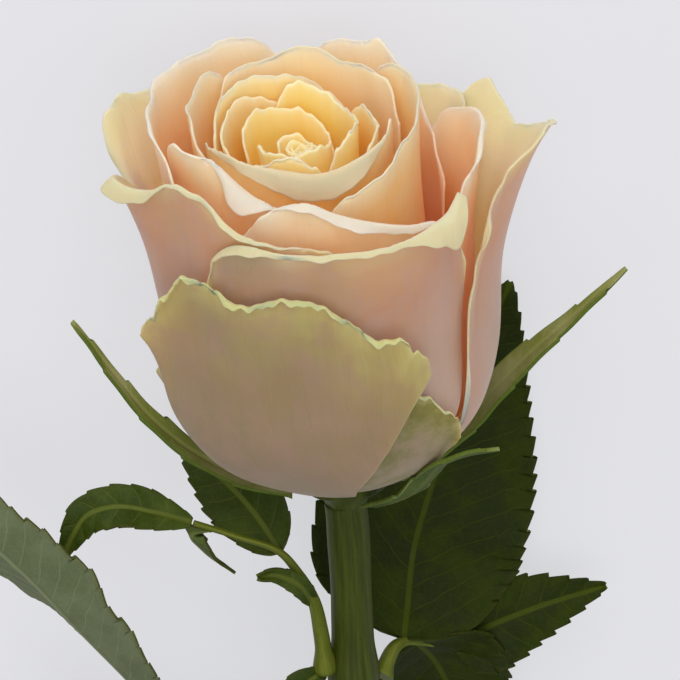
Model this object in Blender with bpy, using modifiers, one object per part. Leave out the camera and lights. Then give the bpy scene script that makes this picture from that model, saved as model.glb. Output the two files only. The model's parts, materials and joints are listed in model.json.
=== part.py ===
"""A cut rose, lying on a flat surface.

The row frame has the stem along -Y and the bloom towards +Y. Lengths in this file are in millimetres and are
turned into metres where a mesh or a curve is made. Two working frames hold the design:

  plant frame  X to the right, Y to the back, Z up the stem, origin where the petals leave the receptacle
  bloom frame  the same, leaning a little to the left, so that its Z is the bloom's own axis

A place in the bloom is an angle, a radius and a height. Angle 0 is the front, 90 the right and 180 the back.
The front is the side that faces up when the rose lies down.
"""

import math
from dataclasses import dataclass, replace

import bmesh
import bpy
import numpy as np
from mathutils import Matrix, Vector

MM = 0.001

# Driving dimensions, in millimetres and degrees.
BLOOM_LEAN = 3.0
STEM_RISE = 3.55
PLANT_PLACE = (4.8, 141.3, 25.36)
STEM_TOP_RADIUS = 2.95
STEM_CUT_RADIUS = 3.5
GAP = 0.35

PETAL_THICKNESS = 0.38
PETAL_ROWS = 7
PETAL_STEP = 7.0
BELLY_HEIGHT = 22.0
FLARE_POWER = 3.0
CLAW_HALF_ANGLE = 14.0
CLAW_SHARE = 0.8

# Outer petals sit low and wide on the dome of the receptacle, and inner ones high and close to its axis.
WIDEST_BELLY = 25.0
SEAT_RADIUS_AT_AXIS = 1.4
SEAT_RADIUS_SLOPE = 0.2
SEAT_HEIGHT_SLOPE = 0.32
SEAT_SHIFT = 0.9
HEART_SHIFT = -2.4
HEART_BELLY = 13.0
UNSHIFTED_BELLY = 21.0
BLOOM_HEIGHT = 50.0

SEPAL_THICKNESS = 0.7
LEAF_THICKNESS = 0.45
STALK_RADIUS = 0.9

PETAL_COLOUR = (0.93, 0.76, 0.62)
GUARD_COLOUR = (0.83, 0.82, 0.55)
HEART_COLOUR = (0.97, 0.80, 0.45)
SEPAL_COLOUR = (0.30, 0.42, 0.16)
STEM_COLOUR = (0.24, 0.34, 0.13)
LEAF_COLOUR = (0.06, 0.14, 0.04)


@dataclass(frozen=True)
class Petal:
    """One petal: the angle of its claw, its belly radius at either side edge, and its rim.

    The rim is a row of (angle, radius, height, lip). The lip is how far the rim hangs below the crest behind it.
    """

    name: str
    claw: float
    belly: tuple
    rim: tuple
    colour: tuple = PETAL_COLOUR


@dataclass(frozen=True)
class Blade:
    """A sepal or leaflet: the points of its midrib, its full width, the way it faces and how far it folds."""

    name: str
    midrib: tuple
    width: float
    facing: tuple
    twist: float = 0.0
    fold: float = 0.25
    widest: float = 0.45


@dataclass(frozen=True)
class Leaf:
    """A compound leaf: the midline of its stalk, and its leaflets, each with its place along the stalk."""

    name: str
    stalk: tuple
    leaflets: tuple


OUTER_PETALS = (
    Petal("guard_petal_front", -22, (23.4, 24.7), (
        (-93, 23.2, 13, 0), (-80, 23.4, 19, 0), (-70, 24.6, 25, 0), (-62.5, 27.7, 30.2, 0), (-58, 27.0, 33.5, 0.4),
        (-51, 26.4, 37.6, 0.6), (-43, 26.2, 41.2, 0.5), (-34, 26.0, 40.3, 0.5), (-24, 25.7, 38.6, 0.5),
        (-13, 25.7, 40.0, 0.5), (-3, 25.7, 39.7, 0.5), (7, 25.8, 36.6, 0.5), (16, 26.0, 33.4, 0.5),
        (22, 26.2, 33.2, 0.3), (27, 26.3, 30.4, 0), (31.5, 26.2, 27.6, 0), (27, 25.7, 24.4, 0),
        (20, 25.3, 21.6, 0), (13, 25.1, 19.0, 0), (6, 24.8, 16.0, 0), (0, 24.6, 13, 0)), GUARD_COLOUR),
    Petal("guard_petal_side", 30, (23.5, 23.3), (
        (-6, 23.7, 13, 0), (4, 23.8, 17.6, 0), (14, 24.0, 20.6, 0), (22, 24.2, 23.2, 0.3), (30, 24.4, 22.8, 0.3),
        (38, 24.5, 19.6, 0.3), (46, 24.3, 16, 0), (50, 23.4, 11, 0)), GUARD_COLOUR),
    Petal("outer_petal_front", 6, (22.5, 21.9), (
        (-42, 23.6, 35, 0), (-38.5, 24.2, 41, 0.3), (-34, 24.6, 44.6, 0.6), (-28, 24.8, 46.4, 0.8),
        (-9, 24.8, 46.0, 1.2), (8, 24.8, 46.0, 1.2), (24, 25.0, 46.0, 1.2), (32, 25.6, 46.0, 2.2),
        (37, 27.2, 44.6, 3.6), (41, 28.0, 43.6, 5.0), (44, 27.4, 46.2, 4.0), (47, 26.0, 50.2, 0.6),
        (52, 24.4, 46, 0), (56, 22.8, 38, 0))),
    Petal("outer_petal_left", -64, (22.1, 20.9), (
        (-99, 23.2, 40, 0), (-88, 25.4, 46, 0.6), (-80, 28.0, 49.4, 1.6), (-72, 29.4, 50.8, 3.2),
        (-66, 28.4, 50.4, 4.0), (-60, 26.2, 50.8, 2.4), (-53, 25.4, 52.6, 1.0), (-46, 25.2, 53.6, 0.4),
        (-40, 24.8, 52.8, 0.2), (-34, 24.2, 50.4, 0.2), (-24, 23.6, 47.8, 0.2), (-11, 22.8, 46.2, 0.2),
        (3, 22.0, 45.2, 0), (12, 21.4, 42, 0))),
    Petal("outer_petal_back_left", -126, (23.0, 22.0), (
        (-160, 25.6, 45, 0), (-146, 27.0, 50, 0.4), (-130, 27.6, 52.2, 0.6), (-118, 28.2, 53.0, 0.6),
        (-109, 29.2, 54.4, 0.4), (-103.5, 29.8, 53.4, 0), (-101.5, 29.0, 48.6, 0), (-105, 27.4, 44.6, 0),
        (-108, 25.6, 40, 0), (-110, 24.0, 35, 0))),
    Petal("outer_petal_right", 94, (22.9, 22.9), (
        (58, 22.3, 14, 0), (53, 23.0, 20, 0), (51.5, 23.5, 27, 0), (53, 24.0, 32, 0), (56, 24.6, 36.6, 0),
        (62, 25.6, 40.4, 0), (67, 26.6, 44.4, 0), (70.5, 28.2, 49.2, 0), (76, 30.0, 52.4, 0), (83, 31.4, 53.4, 0),
        (92, 31.4, 51.6, 0.3), (100, 31.0, 49.4, 0.3), (108, 30.0, 47.4, 0.3), (115, 29.0, 46.4, 0.2),
        (120, 28.4, 48.4, 0), (125, 28.6, 51.2, 0), (130, 27.6, 50.0, 0), (136, 26.4, 45, 0))),
    Petal("outer_petal_back_right", 150, (21.6, 21.6), (
        (120, 23.8, 43, 0), (131, 25.0, 48.8, 0.2), (140, 25.8, 49.2, 0.4), (147, 25.0, 48.8, 0.4),
        (160, 24.8, 50.2, 0.4), (172, 24.4, 49.2, 0.3), (184, 23.6, 44, 0))),
    Petal("outer_petal_back", -179, (24.6, 24.6), (
        (-216, 27.0, 42, 0), (-202, 28.0, 47.0, 0.5), (-185, 28.2, 48.6, 0.5), (-170, 28.0, 47.6, 0.5),
        (-156, 27.6, 42.5, 0))),
)

MIDDLE_PETALS = (
    Petal("middle_petal_left", -110, (20.8, 20.0), (
        (-173, 20.6, 50, 0), (-164, 21.4, 54.8, 0), (-158, 21.8, 57.0, 0.3), (-150, 22.0, 57.8, 0.3),
        (-134, 22.0, 57.8, 0.3), (-122, 22.0, 58.0, 0.3), (-112, 22.2, 57.6, 0.2), (-100, 22.4, 57.0, 0.2),
        (-86, 22.4, 57.0, 0.2), (-70, 22.4, 56.4, 0.2), (-60, 22.4, 53.6, 0), (-52, 22.4, 50, 0), (-46, 22.0, 45, 0))),
    Petal("middle_petal_right", 92, (20.4, 20.0), (
        (61, 20.8, 42, 0), (66, 21.6, 48, 0), (76, 22.4, 52.0, 0.4), (88, 22.6, 53.0, 0.6), (100, 22.4, 52.4, 0.6),
        (114, 21.8, 50.6, 0.5), (125, 21.0, 48.6, 0.3), (130, 20.6, 46, 0), (132, 20.0, 40, 0))),
    Petal("middle_petal_back", 138, (18.4, 18.8), (
        (98, 17.2, 42, 0), (109, 17.6, 47.4, 0), (121, 18.2, 48.8, 0.2), (130, 18.0, 52.6, 0.2),
        (143, 18.4, 56.4, 0.2), (150, 18.8, 58.0, 0), (158, 19.0, 57.2, 0.3), (171, 19.2, 57.0, 0.2),
        (186, 18.8, 52, 0))),
    Petal("middle_petal_front_left", -42, (18.4, 16.9), (
        (-77, 19.4, 49.5, 0), (-68, 20.1, 54.4, 0), (-62, 20.2, 56.0, 0), (-54, 19.6, 56.0, 0.1),
        (-44, 18.8, 55.3, 0.2), (-38, 18.6, 53.0, 1.2), (-30, 18.4, 50.2, 2.2), (-22, 17.9, 49.4, 1.8),
        (-15, 17.5, 49.6, 0.8), (-6, 17.4, 49.0, 0.2), (6, 16.9, 46, 0))),
    Petal("middle_petal_front", 14, (19.1, 19.6), (
        (-31, 19.3, 45, 0), (-19, 19.5, 49.4, 0), (-12, 19.7, 50.6, 0.4), (-4, 19.9, 51.0, 0.8),
        (8, 20.1, 49.2, 1.3), (23, 20.5, 47.2, 1.3), (38, 20.7, 45.4, 1.0), (50, 20.6, 44.4, 0.4),
        (58, 19.8, 40, 0))),
)

CUP_PETALS = (
    Petal("cup_petal_left", -90, (15.5, 14.6), (
        (-147, 15.3, 51, 0), (-137, 15.5, 55.2, 0.1), (-126, 15.5, 57.6, 0.2), (-114, 15.3, 57.4, 0.2),
        (-100, 15.2, 56.4, 0.2), (-84, 15.2, 56.8, 0.2), (-70, 15.2, 56.8, 0.1), (-64, 15.2, 54.6, 0),
        (-57, 15.0, 52, 0), (-48, 14.8, 48.6, 0), (-38, 14.4, 44.5, 0))),
    Petal("cup_petal_right", 78, (15.0, 15.4), (
        (8, 14.9, 45, 0), (18, 15.2, 48.6, 0.1), (30, 15.4, 50.0, 0.2), (42, 15.4, 51.2, 0.2), (57, 15.4, 53.1, 0.2),
        (72, 15.5, 54.4, 0.2), (88, 15.6, 55.8, 0.2), (104, 15.7, 57.0, 0.2), (118, 15.9, 57.0, 0.3),
        (134, 16.0, 56.6, 0.3), (147, 15.8, 52.5, 0))),
    Petal("cup_petal_back", 172, (13.7, 14.0), (
        (106, 13.7, 51, 0), (121, 14.0, 55.4, 0), (138, 14.2, 56.8, 0.2), (157, 14.6, 56.4, 0.4),
        (166, 14.9, 57.4, 0.4), (176, 15.0, 57.8, 0.4), (186, 14.9, 57.6, 0.4), (198, 14.8, 56.6, 0.4),
        (212, 14.5, 56.8, 0.3), (225, 14.1, 56.6, 0.1), (233, 13.8, 53.5, 0))),
    Petal("cup_petal_front", -6, (12.7, 12.4), (
        (-94, 12.5, 49.6, 0), (-80, 12.8, 52.4, 0.1), (-62, 12.8, 53.2, 0.3), (-48, 12.9, 53.4, 0.7),
        (-33, 13.1, 52.9, 1.3), (-15, 13.3, 52.2, 2.0), (-3, 13.4, 51.4, 2.1), (8, 13.4, 50.4, 2.1),
        (20, 13.3, 50.4, 2.0), (35, 13.1, 51.6, 1.5), (54, 12.8, 52.8, 0.6), (68, 12.7, 53.6, 0.2),
        (78, 12.8, 55.0, 0), (87, 12.4, 51.5, 0))),
)

INNER_PETALS = (
    Petal("inner_petal_back_left", -152, (11.2, 11.2), (
        (-222, 10.9, 48.6, 0), (-210, 11.2, 51.6, 0), (-198, 11.3, 53.6, 0.1), (-180, 11.5, 55.1, 0.2),
        (-164, 11.6, 55.8, 0.2), (-143, 11.7, 55.9, 0.2), (-127, 11.7, 55.5, 0.2), (-104, 11.6, 53.8, 0.1),
        (-90, 11.3, 52.2, 0), (-79, 11.0, 49.4, 0))),
    Petal("inner_petal_right", 96, (10.2, 9.7), (
        (48, 10.1, 49, 0), (63, 10.5, 52.2, 0), (78, 10.7, 53.2, 0.2), (95, 10.6, 52.8, 0.3), (112, 10.4, 53.3, 0.2),
        (128, 10.1, 52.8, 0.1), (143, 9.6, 50, 0))),
    Petal("inner_petal_left", -108, (9.8, 9.6), (
        (-174, 9.7, 50, 0), (-158, 10.1, 53.0, 0), (-138, 10.3, 54.2, 0.1), (-119, 10.3, 54.3, 0.1),
        (-104, 10.3, 53.3, 0.1), (-88, 10.2, 52.0, 0), (-72, 9.9, 50.4, 0), (-60, 9.6, 48, 0))),
    Petal("heart_petal_back", 124, (7.0, 8.4), (
        (28, 6.8, 47, 0), (38, 7.0, 50.0, 0), (50, 7.1, 52.0, 0), (66, 7.4, 53.0, 0.1), (90, 7.8, 53.2, 0.2),
        (115, 8.2, 52.8, 0.2), (135, 8.5, 53.0, 0.1), (155, 8.8, 54.0, 0), (170, 9.0, 55.1, 0), (180, 9.0, 55.9, 0),
        (191, 8.9, 54.5, 0), (202, 8.8, 52.2, 0), (213, 8.6, 49, 0)), HEART_COLOUR),
    Petal("heart_petal_front", -4, (8.9, 8.5), (
        (-56, 8.7, 48.6, 0), (-40, 8.9, 50.8, 0), (-22, 9.0, 52.0, 0.2), (-6, 9.0, 52.8, 0.2), (6, 8.9, 52.0, 0.1),
        (17, 8.7, 50.4, 0), (26, 8.5, 48, 0)), HEART_COLOUR),
)

HEART_PETALS = (
    Petal("heart_petal_left", -160, (5.2, 7.1), (
        (-236, 5.2, 47.6, 0), (-220, 5.5, 49.8, 0), (-202, 6.0, 51.3, 0), (-182, 6.6, 52.6, 0), (-164, 7.0, 53.1, 0.1),
        (-148, 7.3, 53.1, 0.1), (-125, 7.5, 53.6, 0.1), (-110, 7.5, 52.9, 0), (-97, 7.4, 51.4, 0),
        (-84, 7.2, 49, 0)), HEART_COLOUR),
    Petal("curl_petal_left", -50, (5.4, 5.6), (
        (-120, 5.3, 47.6, 0), (-92, 5.7, 50.4, 0), (-62, 5.9, 51.5, 0), (-30, 5.9, 51.6, 0), (0, 5.8, 51.0, 0),
        (22, 5.6, 49, 0)), HEART_COLOUR),
    Petal("curl_petal_right", 62, (4.0, 3.9), (
        (-44, 4.0, 47.6, 0), (-14, 4.3, 50.6, 0), (24, 4.4, 51.4, 0), (66, 4.3, 51.0, 0), (104, 4.1, 50.0, 0),
        (136, 3.9, 47.6, 0)), HEART_COLOUR),
    Petal("curl_petal_back", -156, (2.8, 2.8), (
        (-240, 2.7, 47, 0), (-200, 2.9, 49.6, 0), (-158, 3.0, 50.8, 0), (-115, 2.9, 50.4, 0),
        (-76, 2.7, 48, 0)), HEART_COLOUR),
)

PETALS = OUTER_PETALS + MIDDLE_PETALS + CUP_PETALS + INNER_PETALS + HEART_PETALS

SEPALS = (
    Blade("sepal_left", ((-6.3, 0.2, -2.2), (-11.8, 0.0, -1.4), (-19.0, -2.2, 3.4), (-25.4, -4.6, 10.4),
                         (-30.6, -6.4, 18.6), (-35.7, -8.0, 27.6)), 7.4, (0.8, -0.3, 0.5), fold=0.08, widest=0.3),
    Blade("sepal_right", ((7.9, 2.4, -2.2), (12.4, 5.2, -0.6), (17.6, 7.2, 3.5), (22.8, 7.2, 9.8),
                          (27.4, 6.5, 15.6), (33.0, 6.4, 21.2), (39.6, 7.0, 28.0)), 7.6, (-0.7, -0.3, 0.65),
          fold=0.15, widest=0.35),
    Blade("sepal_front", ((5.3, -5.8, -2.2), (7.4, -9.2, -1.1), (10.9, -12.9, 2.4), (15.0, -15.5, 7.2),
                          (18.6, -17.0, 10.4), (22.8, -17.8, 12.6)), 7.6, (-0.3, 0.55, 0.8), fold=0.1, widest=0.35),
    Blade("sepal_back_right", ((1.3, 7.2, -2.2), (1.2, 12.4, -0.9), (1.1, 18.7, 3.2), (1.0, 23.8, 10.6),
                               (1.0, 25.7, 18), (1.0, 26.0, 26)), 6.6, (0.0, -0.9, 0.3), fold=0.05, widest=0.3),
    Blade("sepal_back_left", ((-3.3, 6.0, -2.2), (-7.4, 10.6, -1.0), (-11.6, 16.3, 3.0), (-15.4, 20.6, 10.4),
                              (-17.2, 22.5, 18), (-18.2, 23.3, 25)), 6.6, (0.4, -0.8, 0.4), fold=0.05, widest=0.3),
)

STEM_PATH = (
    (1.25, 0.0, -7.0), (1.5, 0.0, -11), (2.0, 0.0, -24), (2.3, 0.1, -42), (2.1, 0.6, -75), (1.0, 0.2, -130),
    (-0.8, -0.8, -195), (-0.4, -0.4, -265), (1.6, 0.6, -342),
)
# Each prickle is (height down the stem, angle round it).
PRICKLES = ((-62, 60), (-121, -70), (-158, 40), (-204, -150), (-232, 80), (-262, -40), (-297, 165))
PRICKLE_LENGTH = 4.6
PRICKLE_RADIUS = 1.5

LEAVES = (
    Leaf("right_leaf", ((6.15, 1.2, -34.2), (7.9, 4.2, -31.6), (9.6, 7.2, -32.2), (13.0, 9.6, -34.0),
                        (16.2, 11.2, -35.6)), (
        (0.45, Blade("leaflet_top", ((9.4, 11.8, -27.8), (11.4, 16.2, -20.6), (14.2, 20.4, -12.4), (18.2, 23.2, 0.4),
                                     (24.6, 24.2, 17.2)), 30.0, (0.12, -1.0, 0.1), fold=0.08)),
        (1.0, Blade("leaflet_right", ((20.6, 12.6, -33.2), (29.0, 14.4, -29.8), (38.8, 16.2, -28.2)), 16.0,
                    (0.0, -1.0, 0.25))),
        (0.62, Blade("leaflet_low", ((13.0, 12.4, -41), (17.6, 16.2, -51), (22.4, 19.6, -62)), 15.0,
                     (-0.1, -1.0, 0.0), widest=0.55)),
    )),
    Leaf("left_leaf", ((-1.75, -1.5, -31.4), (-2.4, -2.2, -25), (-3.6, -3.0, -18.6), (-5.4, -3.6, -14.6),
                       (-8.0, -4.0, -10.8), (-14.0, -4.0, -8.2), (-20.0, -4.4, -5.8)), (
        (1.0, Blade("leaflet_arching", ((-25.6, -5.0, -3.7), (-31.0, -4.8, -3.0), (-34.8, -4.8, -4.4),
                                        (-36.8, -5.2, -7.4), (-38.4, -5.8, -11.0)), 10.0, (0.1, -0.75, 0.65))),
        (0.62, Blade("leaflet_upright", ((-11.8, 2.4, -8.6), (-16.2, 7.4, -6.0), (-20.0, 12.2, -3.4)), 16.0,
                     (-0.3, -0.7, 0.55), fold=0.1)),
        (0.92, Blade("leaflet_hanging", ((-20.4, -3.4, -8.4), (-18.8, -3.4, -10.6), (-14.4, -3.0, -14.6)), 4.6,
                     (0.55, 0.42, 0.72))),
        (0.0, Blade("leaflet_low", ((-4.8, -3.2, -35.4), (-5.8, -3.8, -43), (-5.4, -4.0, -55)), 8.0,
                    (-0.2, -1.0, 0.1))),
        (0.33, Blade("bract", ((-5.4, -6.4, -17.6), (-8.4, -6.8, -14.8), (-11.6, -6.4, -13.2)), 3.2,
                     (0.1, -0.9, 0.4))),
    )),
    Leaf("lower_left_leaf", ((-2.4, -0.7, -98), (-5.0, -3.4, -88), (-11.0, -5.6, -66), (-19.0, -6.8, -44)), (
        (1.0, Blade("leaflet_end", ((-27.4, -7.0, -30.7), (-34.4, -7.2, -21.6), (-41.4, -7.4, -14.6),
                                    (-49.0, -7.6, -8.4), (-61, -8.6, 2)), 21.0, (0.69, 0.12, 0.6), twist=-60)),
        (0.72, Blade("leaflet_2", ((-22, -4.6, -56), (-33, -0.6, -50), (-45, 5.0, -42)), 18.0, (-0.3, -1.0, 0.1))),
        (0.70, Blade("leaflet_3", ((-6.4, -7.4, -54), (1.6, -8.4, -49), (11.5, -8.6, -44)), 15.0, (0.1, -1.0, 0.1))),
        (0.36, Blade("leaflet_4", ((-16, 0.4, -82), (-27, 9.0, -80), (-38, 20.0, -78)), 17.0, (-0.4, -1.0, 0.1))),
        (0.34, Blade("leaflet_5", ((0.0, -7.6, -78), (8.6, -8.4, -74), (18, -7.0, -70)), 14.0, (0.1, -1.0, 0.1))),
    )),
    Leaf("lower_right_leaf", ((4.25, 0.2, -166), (9.0, 2.6, -156), (17.0, 6.2, -140), (26.0, 9.4, -124)), (
        (1.0, Blade("leaflet_end", ((33, 12.4, -112), (41, 15.8, -98), (50, 19.6, -84)), 26.0, (0.1, -1.0, 0.1))),
        (0.72, Blade("leaflet_2", ((30, 10.0, -138), (40, 13.2, -136), (50, 16.6, -132)), 17.0, (0.1, -1.0, 0.1))),
        (0.70, Blade("leaflet_3", ((16.0, 4.0, -125), (14.6, 4.6, -113), (15.8, 6.4, -100)), 14.0, (0.0, -1.0, 0.1))),
        (0.34, Blade("leaflet_4", ((19, 6.4, -158), (28, 9.6, -160), (36, 12.2, -160)), 14.0, (0.1, -1.0, 0.1))),
        (0.32, Blade("leaflet_5", ((9.8, -1.6, -146), (11.0, -4.0, -137), (12.2, -5.6, -127)), 11.0, (0.0, -1.0, 0.1))),
    )),
)


def along(points, shares):
    """A smooth curve through the points, read at shares of its length from 0 to 1."""
    knots = np.asarray(points, float)
    steps = np.linalg.norm(np.diff(knots, axis=0), axis=1)
    at = np.concatenate([[0.0], np.cumsum(steps)])
    slopes = np.gradient(knots, at, axis=0)
    wanted = np.asarray(shares, float) * at[-1]
    index = np.clip(np.searchsorted(at, wanted, side="right") - 1, 0, len(at) - 2)
    width = (at[index + 1] - at[index])[:, None]
    t = (wanted - at[index])[:, None] / width
    start, end = knots[index], knots[index + 1]
    first, last = slopes[index] * width, slopes[index + 1] * width
    return (
        start * (2 * t**3 - 3 * t**2 + 1)
        + first * (t**3 - 2 * t**2 + t)
        + end * (3 * t**2 - 2 * t**3)
        + last * (t**3 - t**2)
    )


def rim_of(petal, shares):
    """The petal's rim at shares of its length: angles, radii, heights and lips."""
    rim = np.array(petal.rim, float)
    arc = math.radians(1) * rim[:, 1].mean()
    curve = along(rim * (arc, 1, 1, 1), shares)
    return curve[:, 0] / arc, curve[:, 1], curve[:, 2], np.maximum(curve[:, 3], 0)


def rim_length(petal):
    rim = np.array(petal.rim, float)
    arc = math.radians(1) * rim[:, 1].mean()
    return np.linalg.norm(np.diff(rim[:, :3] * (arc, 1, 1), axis=0), axis=1).sum()


def seat(belly):
    """Radius and height of the place on the dome where a petal of this belly radius grows."""
    return SEAT_RADIUS_AT_AXIS + SEAT_RADIUS_SLOPE * belly, SEAT_HEIGHT_SLOPE * (WIDEST_BELLY - belly)


def petal_surface(petal, across, up):
    """Points of the petal's middle surface in the bloom frame, at the given shares across it and up it."""
    angles, radii, heights, lips = rim_of(petal, across)
    v = np.asarray(up, float)[:, None]
    spread = np.clip(v / CLAW_SHARE, 0, 1)
    spread = spread**1.5 * (2.5 - 1.5 * spread)
    claw = petal.claw + (2 * np.asarray(across) - 1) * CLAW_HALF_ANGLE
    angle = claw + (angles - claw) * spread
    side = np.clip((angle - petal.rim[0][0]) / (petal.rim[-1][0] - petal.rim[0][0]), 0, 1)
    belly = petal.belly[0] + (petal.belly[1] - petal.belly[0]) * side
    seat_radius, seat_height = seat(belly)
    share = v**1.5
    crest = np.clip((v - 0.55) / 0.32, 0, 1) * np.clip((1 - v) / 0.13, 0, 1)
    height = seat_height + (heights - seat_height) * share + lips * crest
    rise = 1 - (1 - np.clip((height - seat_height) / BELLY_HEIGHT, 0, 1)) ** 3
    radius = seat_radius + (belly - seat_radius) * rise + (radii - belly) * share**FLARE_POWER
    inward = np.clip((UNSHIFTED_BELLY - belly) / (UNSHIFTED_BELLY - HEART_BELLY), 0, 1)
    centre = SEAT_SHIFT * (1 - rise) + HEART_SHIFT * inward * height / BLOOM_HEIGHT
    turn = np.radians(angle)
    return np.stack([centre + radius * np.sin(turn), -radius * np.cos(turn), height], axis=-1)


def blade_surface(blade, across, along_it, root_width=1.4, tip_width=0.5):
    """Points of a sepal's or leaflet's middle surface, at shares across it and along its midrib."""
    t = np.asarray(along_it, float)
    middle = along(blade.midrib, t)
    ahead = np.gradient(middle, axis=0)
    ahead /= np.linalg.norm(ahead, axis=1, keepdims=True)
    sideways = np.cross(ahead, np.asarray(blade.facing, float))
    sideways /= np.linalg.norm(sideways, axis=1, keepdims=True)
    upward = np.cross(sideways, ahead)
    turn = np.radians(blade.twist * t)[:, None]
    sideways, upward = sideways * np.cos(turn) + upward * np.sin(turn), upward * np.cos(turn) - sideways * np.sin(turn)
    swell = np.sin(math.pi * t ** (math.log(0.5) / math.log(blade.widest))) ** 0.85
    end_width = root_width + (tip_width - root_width) * t
    half = (end_width + (blade.width - end_width) * swell) / 2
    offset = (2 * np.asarray(across) - 1)[None, :, None] * half[:, None, None]
    return middle[:, None] + sideways[:, None] * offset + upward[:, None] * blade.fold * np.abs(offset)


def material(name, colour, roughness=0.55):
    made = bpy.data.materials.get(name)
    if made is None:
        made = bpy.data.materials.new(name)
        made.use_nodes = True
        shader = made.node_tree.nodes["Principled BSDF"]
        shader.inputs["Base Color"].default_value = (*colour, 1)
        shader.inputs["Roughness"].default_value = roughness
        shader.inputs["Metallic"].default_value = 0.0
    return made


def add_object(name, data, parent, finish, collection):
    made = bpy.data.objects.new(name, data)
    collection.objects.link(made)
    made.parent = parent
    data.materials.clear()
    data.materials.append(finish)
    return made


def add_frame(name, parent, collection, matrix):
    frame = bpy.data.objects.new(name, None)
    collection.objects.link(frame)
    frame.parent = parent
    frame.matrix_basis = matrix
    return frame


def sheet_object(name, points, thickness, parent, finish, collection):
    """An open grid bent to the points, with Solidify giving it its thickness."""
    rows, columns = points.shape[:2]
    mesh = bpy.data.meshes.new(name)
    bm = bmesh.new()
    bmesh.ops.create_grid(bm, x_segments=columns - 1, y_segments=rows - 1, size=1)
    for vert in bm.verts:
        column = round((vert.co.x + 1) / 2 * (columns - 1))
        row = round((vert.co.y + 1) / 2 * (rows - 1))
        vert.co = Vector(points[row, column]) * MM
    bm.to_mesh(mesh)
    bm.free()
    mesh.shade_smooth()
    made = add_object(name, mesh, parent, finish, collection)
    shell = made.modifiers.new("thickness", "SOLIDIFY")
    shell.thickness = thickness * MM
    shell.offset = 0
    return made


def tube_curve(name, points, radii, sides):
    """A curve through the points whose bevel follows the radii."""
    curve = bpy.data.curves.new(name, "CURVE")
    curve.dimensions = "3D"
    curve.bevel_depth = MM
    curve.bevel_resolution = sides
    curve.use_fill_caps = True
    spline = curve.splines.new("POLY")
    spline.points.add(len(points) - 1)
    for knot, place, radius in zip(spline.points, points, radii):
        knot.co = (*(Vector(place) * MM), 1)
        knot.radius = radius
    return curve


def make_petals(bloom, collection):
    up = np.linspace(0, 1, PETAL_ROWS + 1)
    for petal in PETALS:
        columns = max(5, math.ceil(rim_length(petal) / PETAL_STEP))
        points = petal_surface(petal, np.linspace(0, 1, columns + 1), up)
        finish = material("petal_" + "_".join(f"{round(100 * c)}" for c in petal.colour), petal.colour)
        sheet_object(petal.name, points, PETAL_THICKNESS, bloom, finish, collection)


def turned_object(name, profile, steps, parent, finish, collection):
    """A solid of revolution about the parent's Z, from a profile of (radius, height) that runs top to bottom."""
    mesh = bpy.data.meshes.new(name)
    bm = bmesh.new()
    verts = [bm.verts.new((radius * MM, 0, height * MM)) for radius, height in profile]
    for upper, lower in zip(verts, verts[1:]):
        bm.edges.new((upper, lower))
    bm.to_mesh(mesh)
    bm.free()
    made = add_object(name, mesh, parent, finish, collection)
    turn = made.modifiers.new("turn", "SCREW")
    turn.axis = "Z"
    turn.steps = steps
    turn.render_steps = steps
    turn.use_merge_vertices = True
    turn.merge_threshold = 0.00005
    return made


def make_receptacle(bloom, collection):
    """The swollen hip that carries the petals on its domed top and the sepals on its rim."""
    clear = GAP + PETAL_THICKNESS / 2 + 0.1
    rim_radius, rim_height = seat(WIDEST_BELLY)
    top_radius, top_height = seat(0)
    dome = [(0.0, top_height - clear), (top_radius, top_height - clear), (rim_radius, rim_height - clear)]
    hip = [(6.75, -0.9), (6.4, -2.0), (5.2, -3.4), (3.9, -4.8), (3.25, -6.0), (3.1, -6.65), (0.0, -6.65)]
    made = turned_object("receptacle", dome + hip, 20, bloom, material("sepal_green", SEPAL_COLOUR), collection)
    made.location.x = SEAT_SHIFT * MM


def make_heart(bloom, collection):
    """The tight bud of unopened petals in the middle, as one turned spindle."""
    base = seat(0)[1] + GAP
    profile = [(0.0, 48.6), (0.7, 48.0), (1.3, 46.0), (1.6, 42.0), (1.7, 32.0), (1.4, 20.0), (0.9, base + 4),
               (0.6, base), (0.0, base)]
    made = turned_object("heart_bud", profile, 10, bloom, material("heart", HEART_COLOUR), collection)
    tilt = math.atan2(HEART_SHIFT * (profile[0][1] / BLOOM_HEIGHT) - SEAT_SHIFT, profile[0][1] - base)
    made.matrix_basis = (
        Matrix.Translation(Vector((SEAT_SHIFT, 0, base)) * MM)
        @ Matrix.Rotation(tilt, 4, "Y")
        @ Matrix.Translation(Vector((0, 0, -base)) * MM)
    )


def make_sepals(plant, collection):
    finish = material("sepal_green", SEPAL_COLOUR)
    shares = np.linspace(0, 1, 11)
    for sepal in SEPALS:
        points = blade_surface(sepal, np.linspace(0, 1, 5), shares, root_width=5.0)
        sheet_object(sepal.name, points, SEPAL_THICKNESS, plant, finish, collection)


def curve_to_mesh(curve_object):
    """Replaces a curve object by its evaluated mesh, with the caps welded."""
    graph = bpy.context.evaluated_depsgraph_get()
    mesh = bpy.data.meshes.new_from_object(curve_object.evaluated_get(graph))
    bm = bmesh.new()
    bm.from_mesh(mesh)
    bmesh.ops.remove_doubles(bm, verts=bm.verts, dist=0.00001)
    bm.to_mesh(mesh)
    bm.free()
    return mesh


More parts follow.
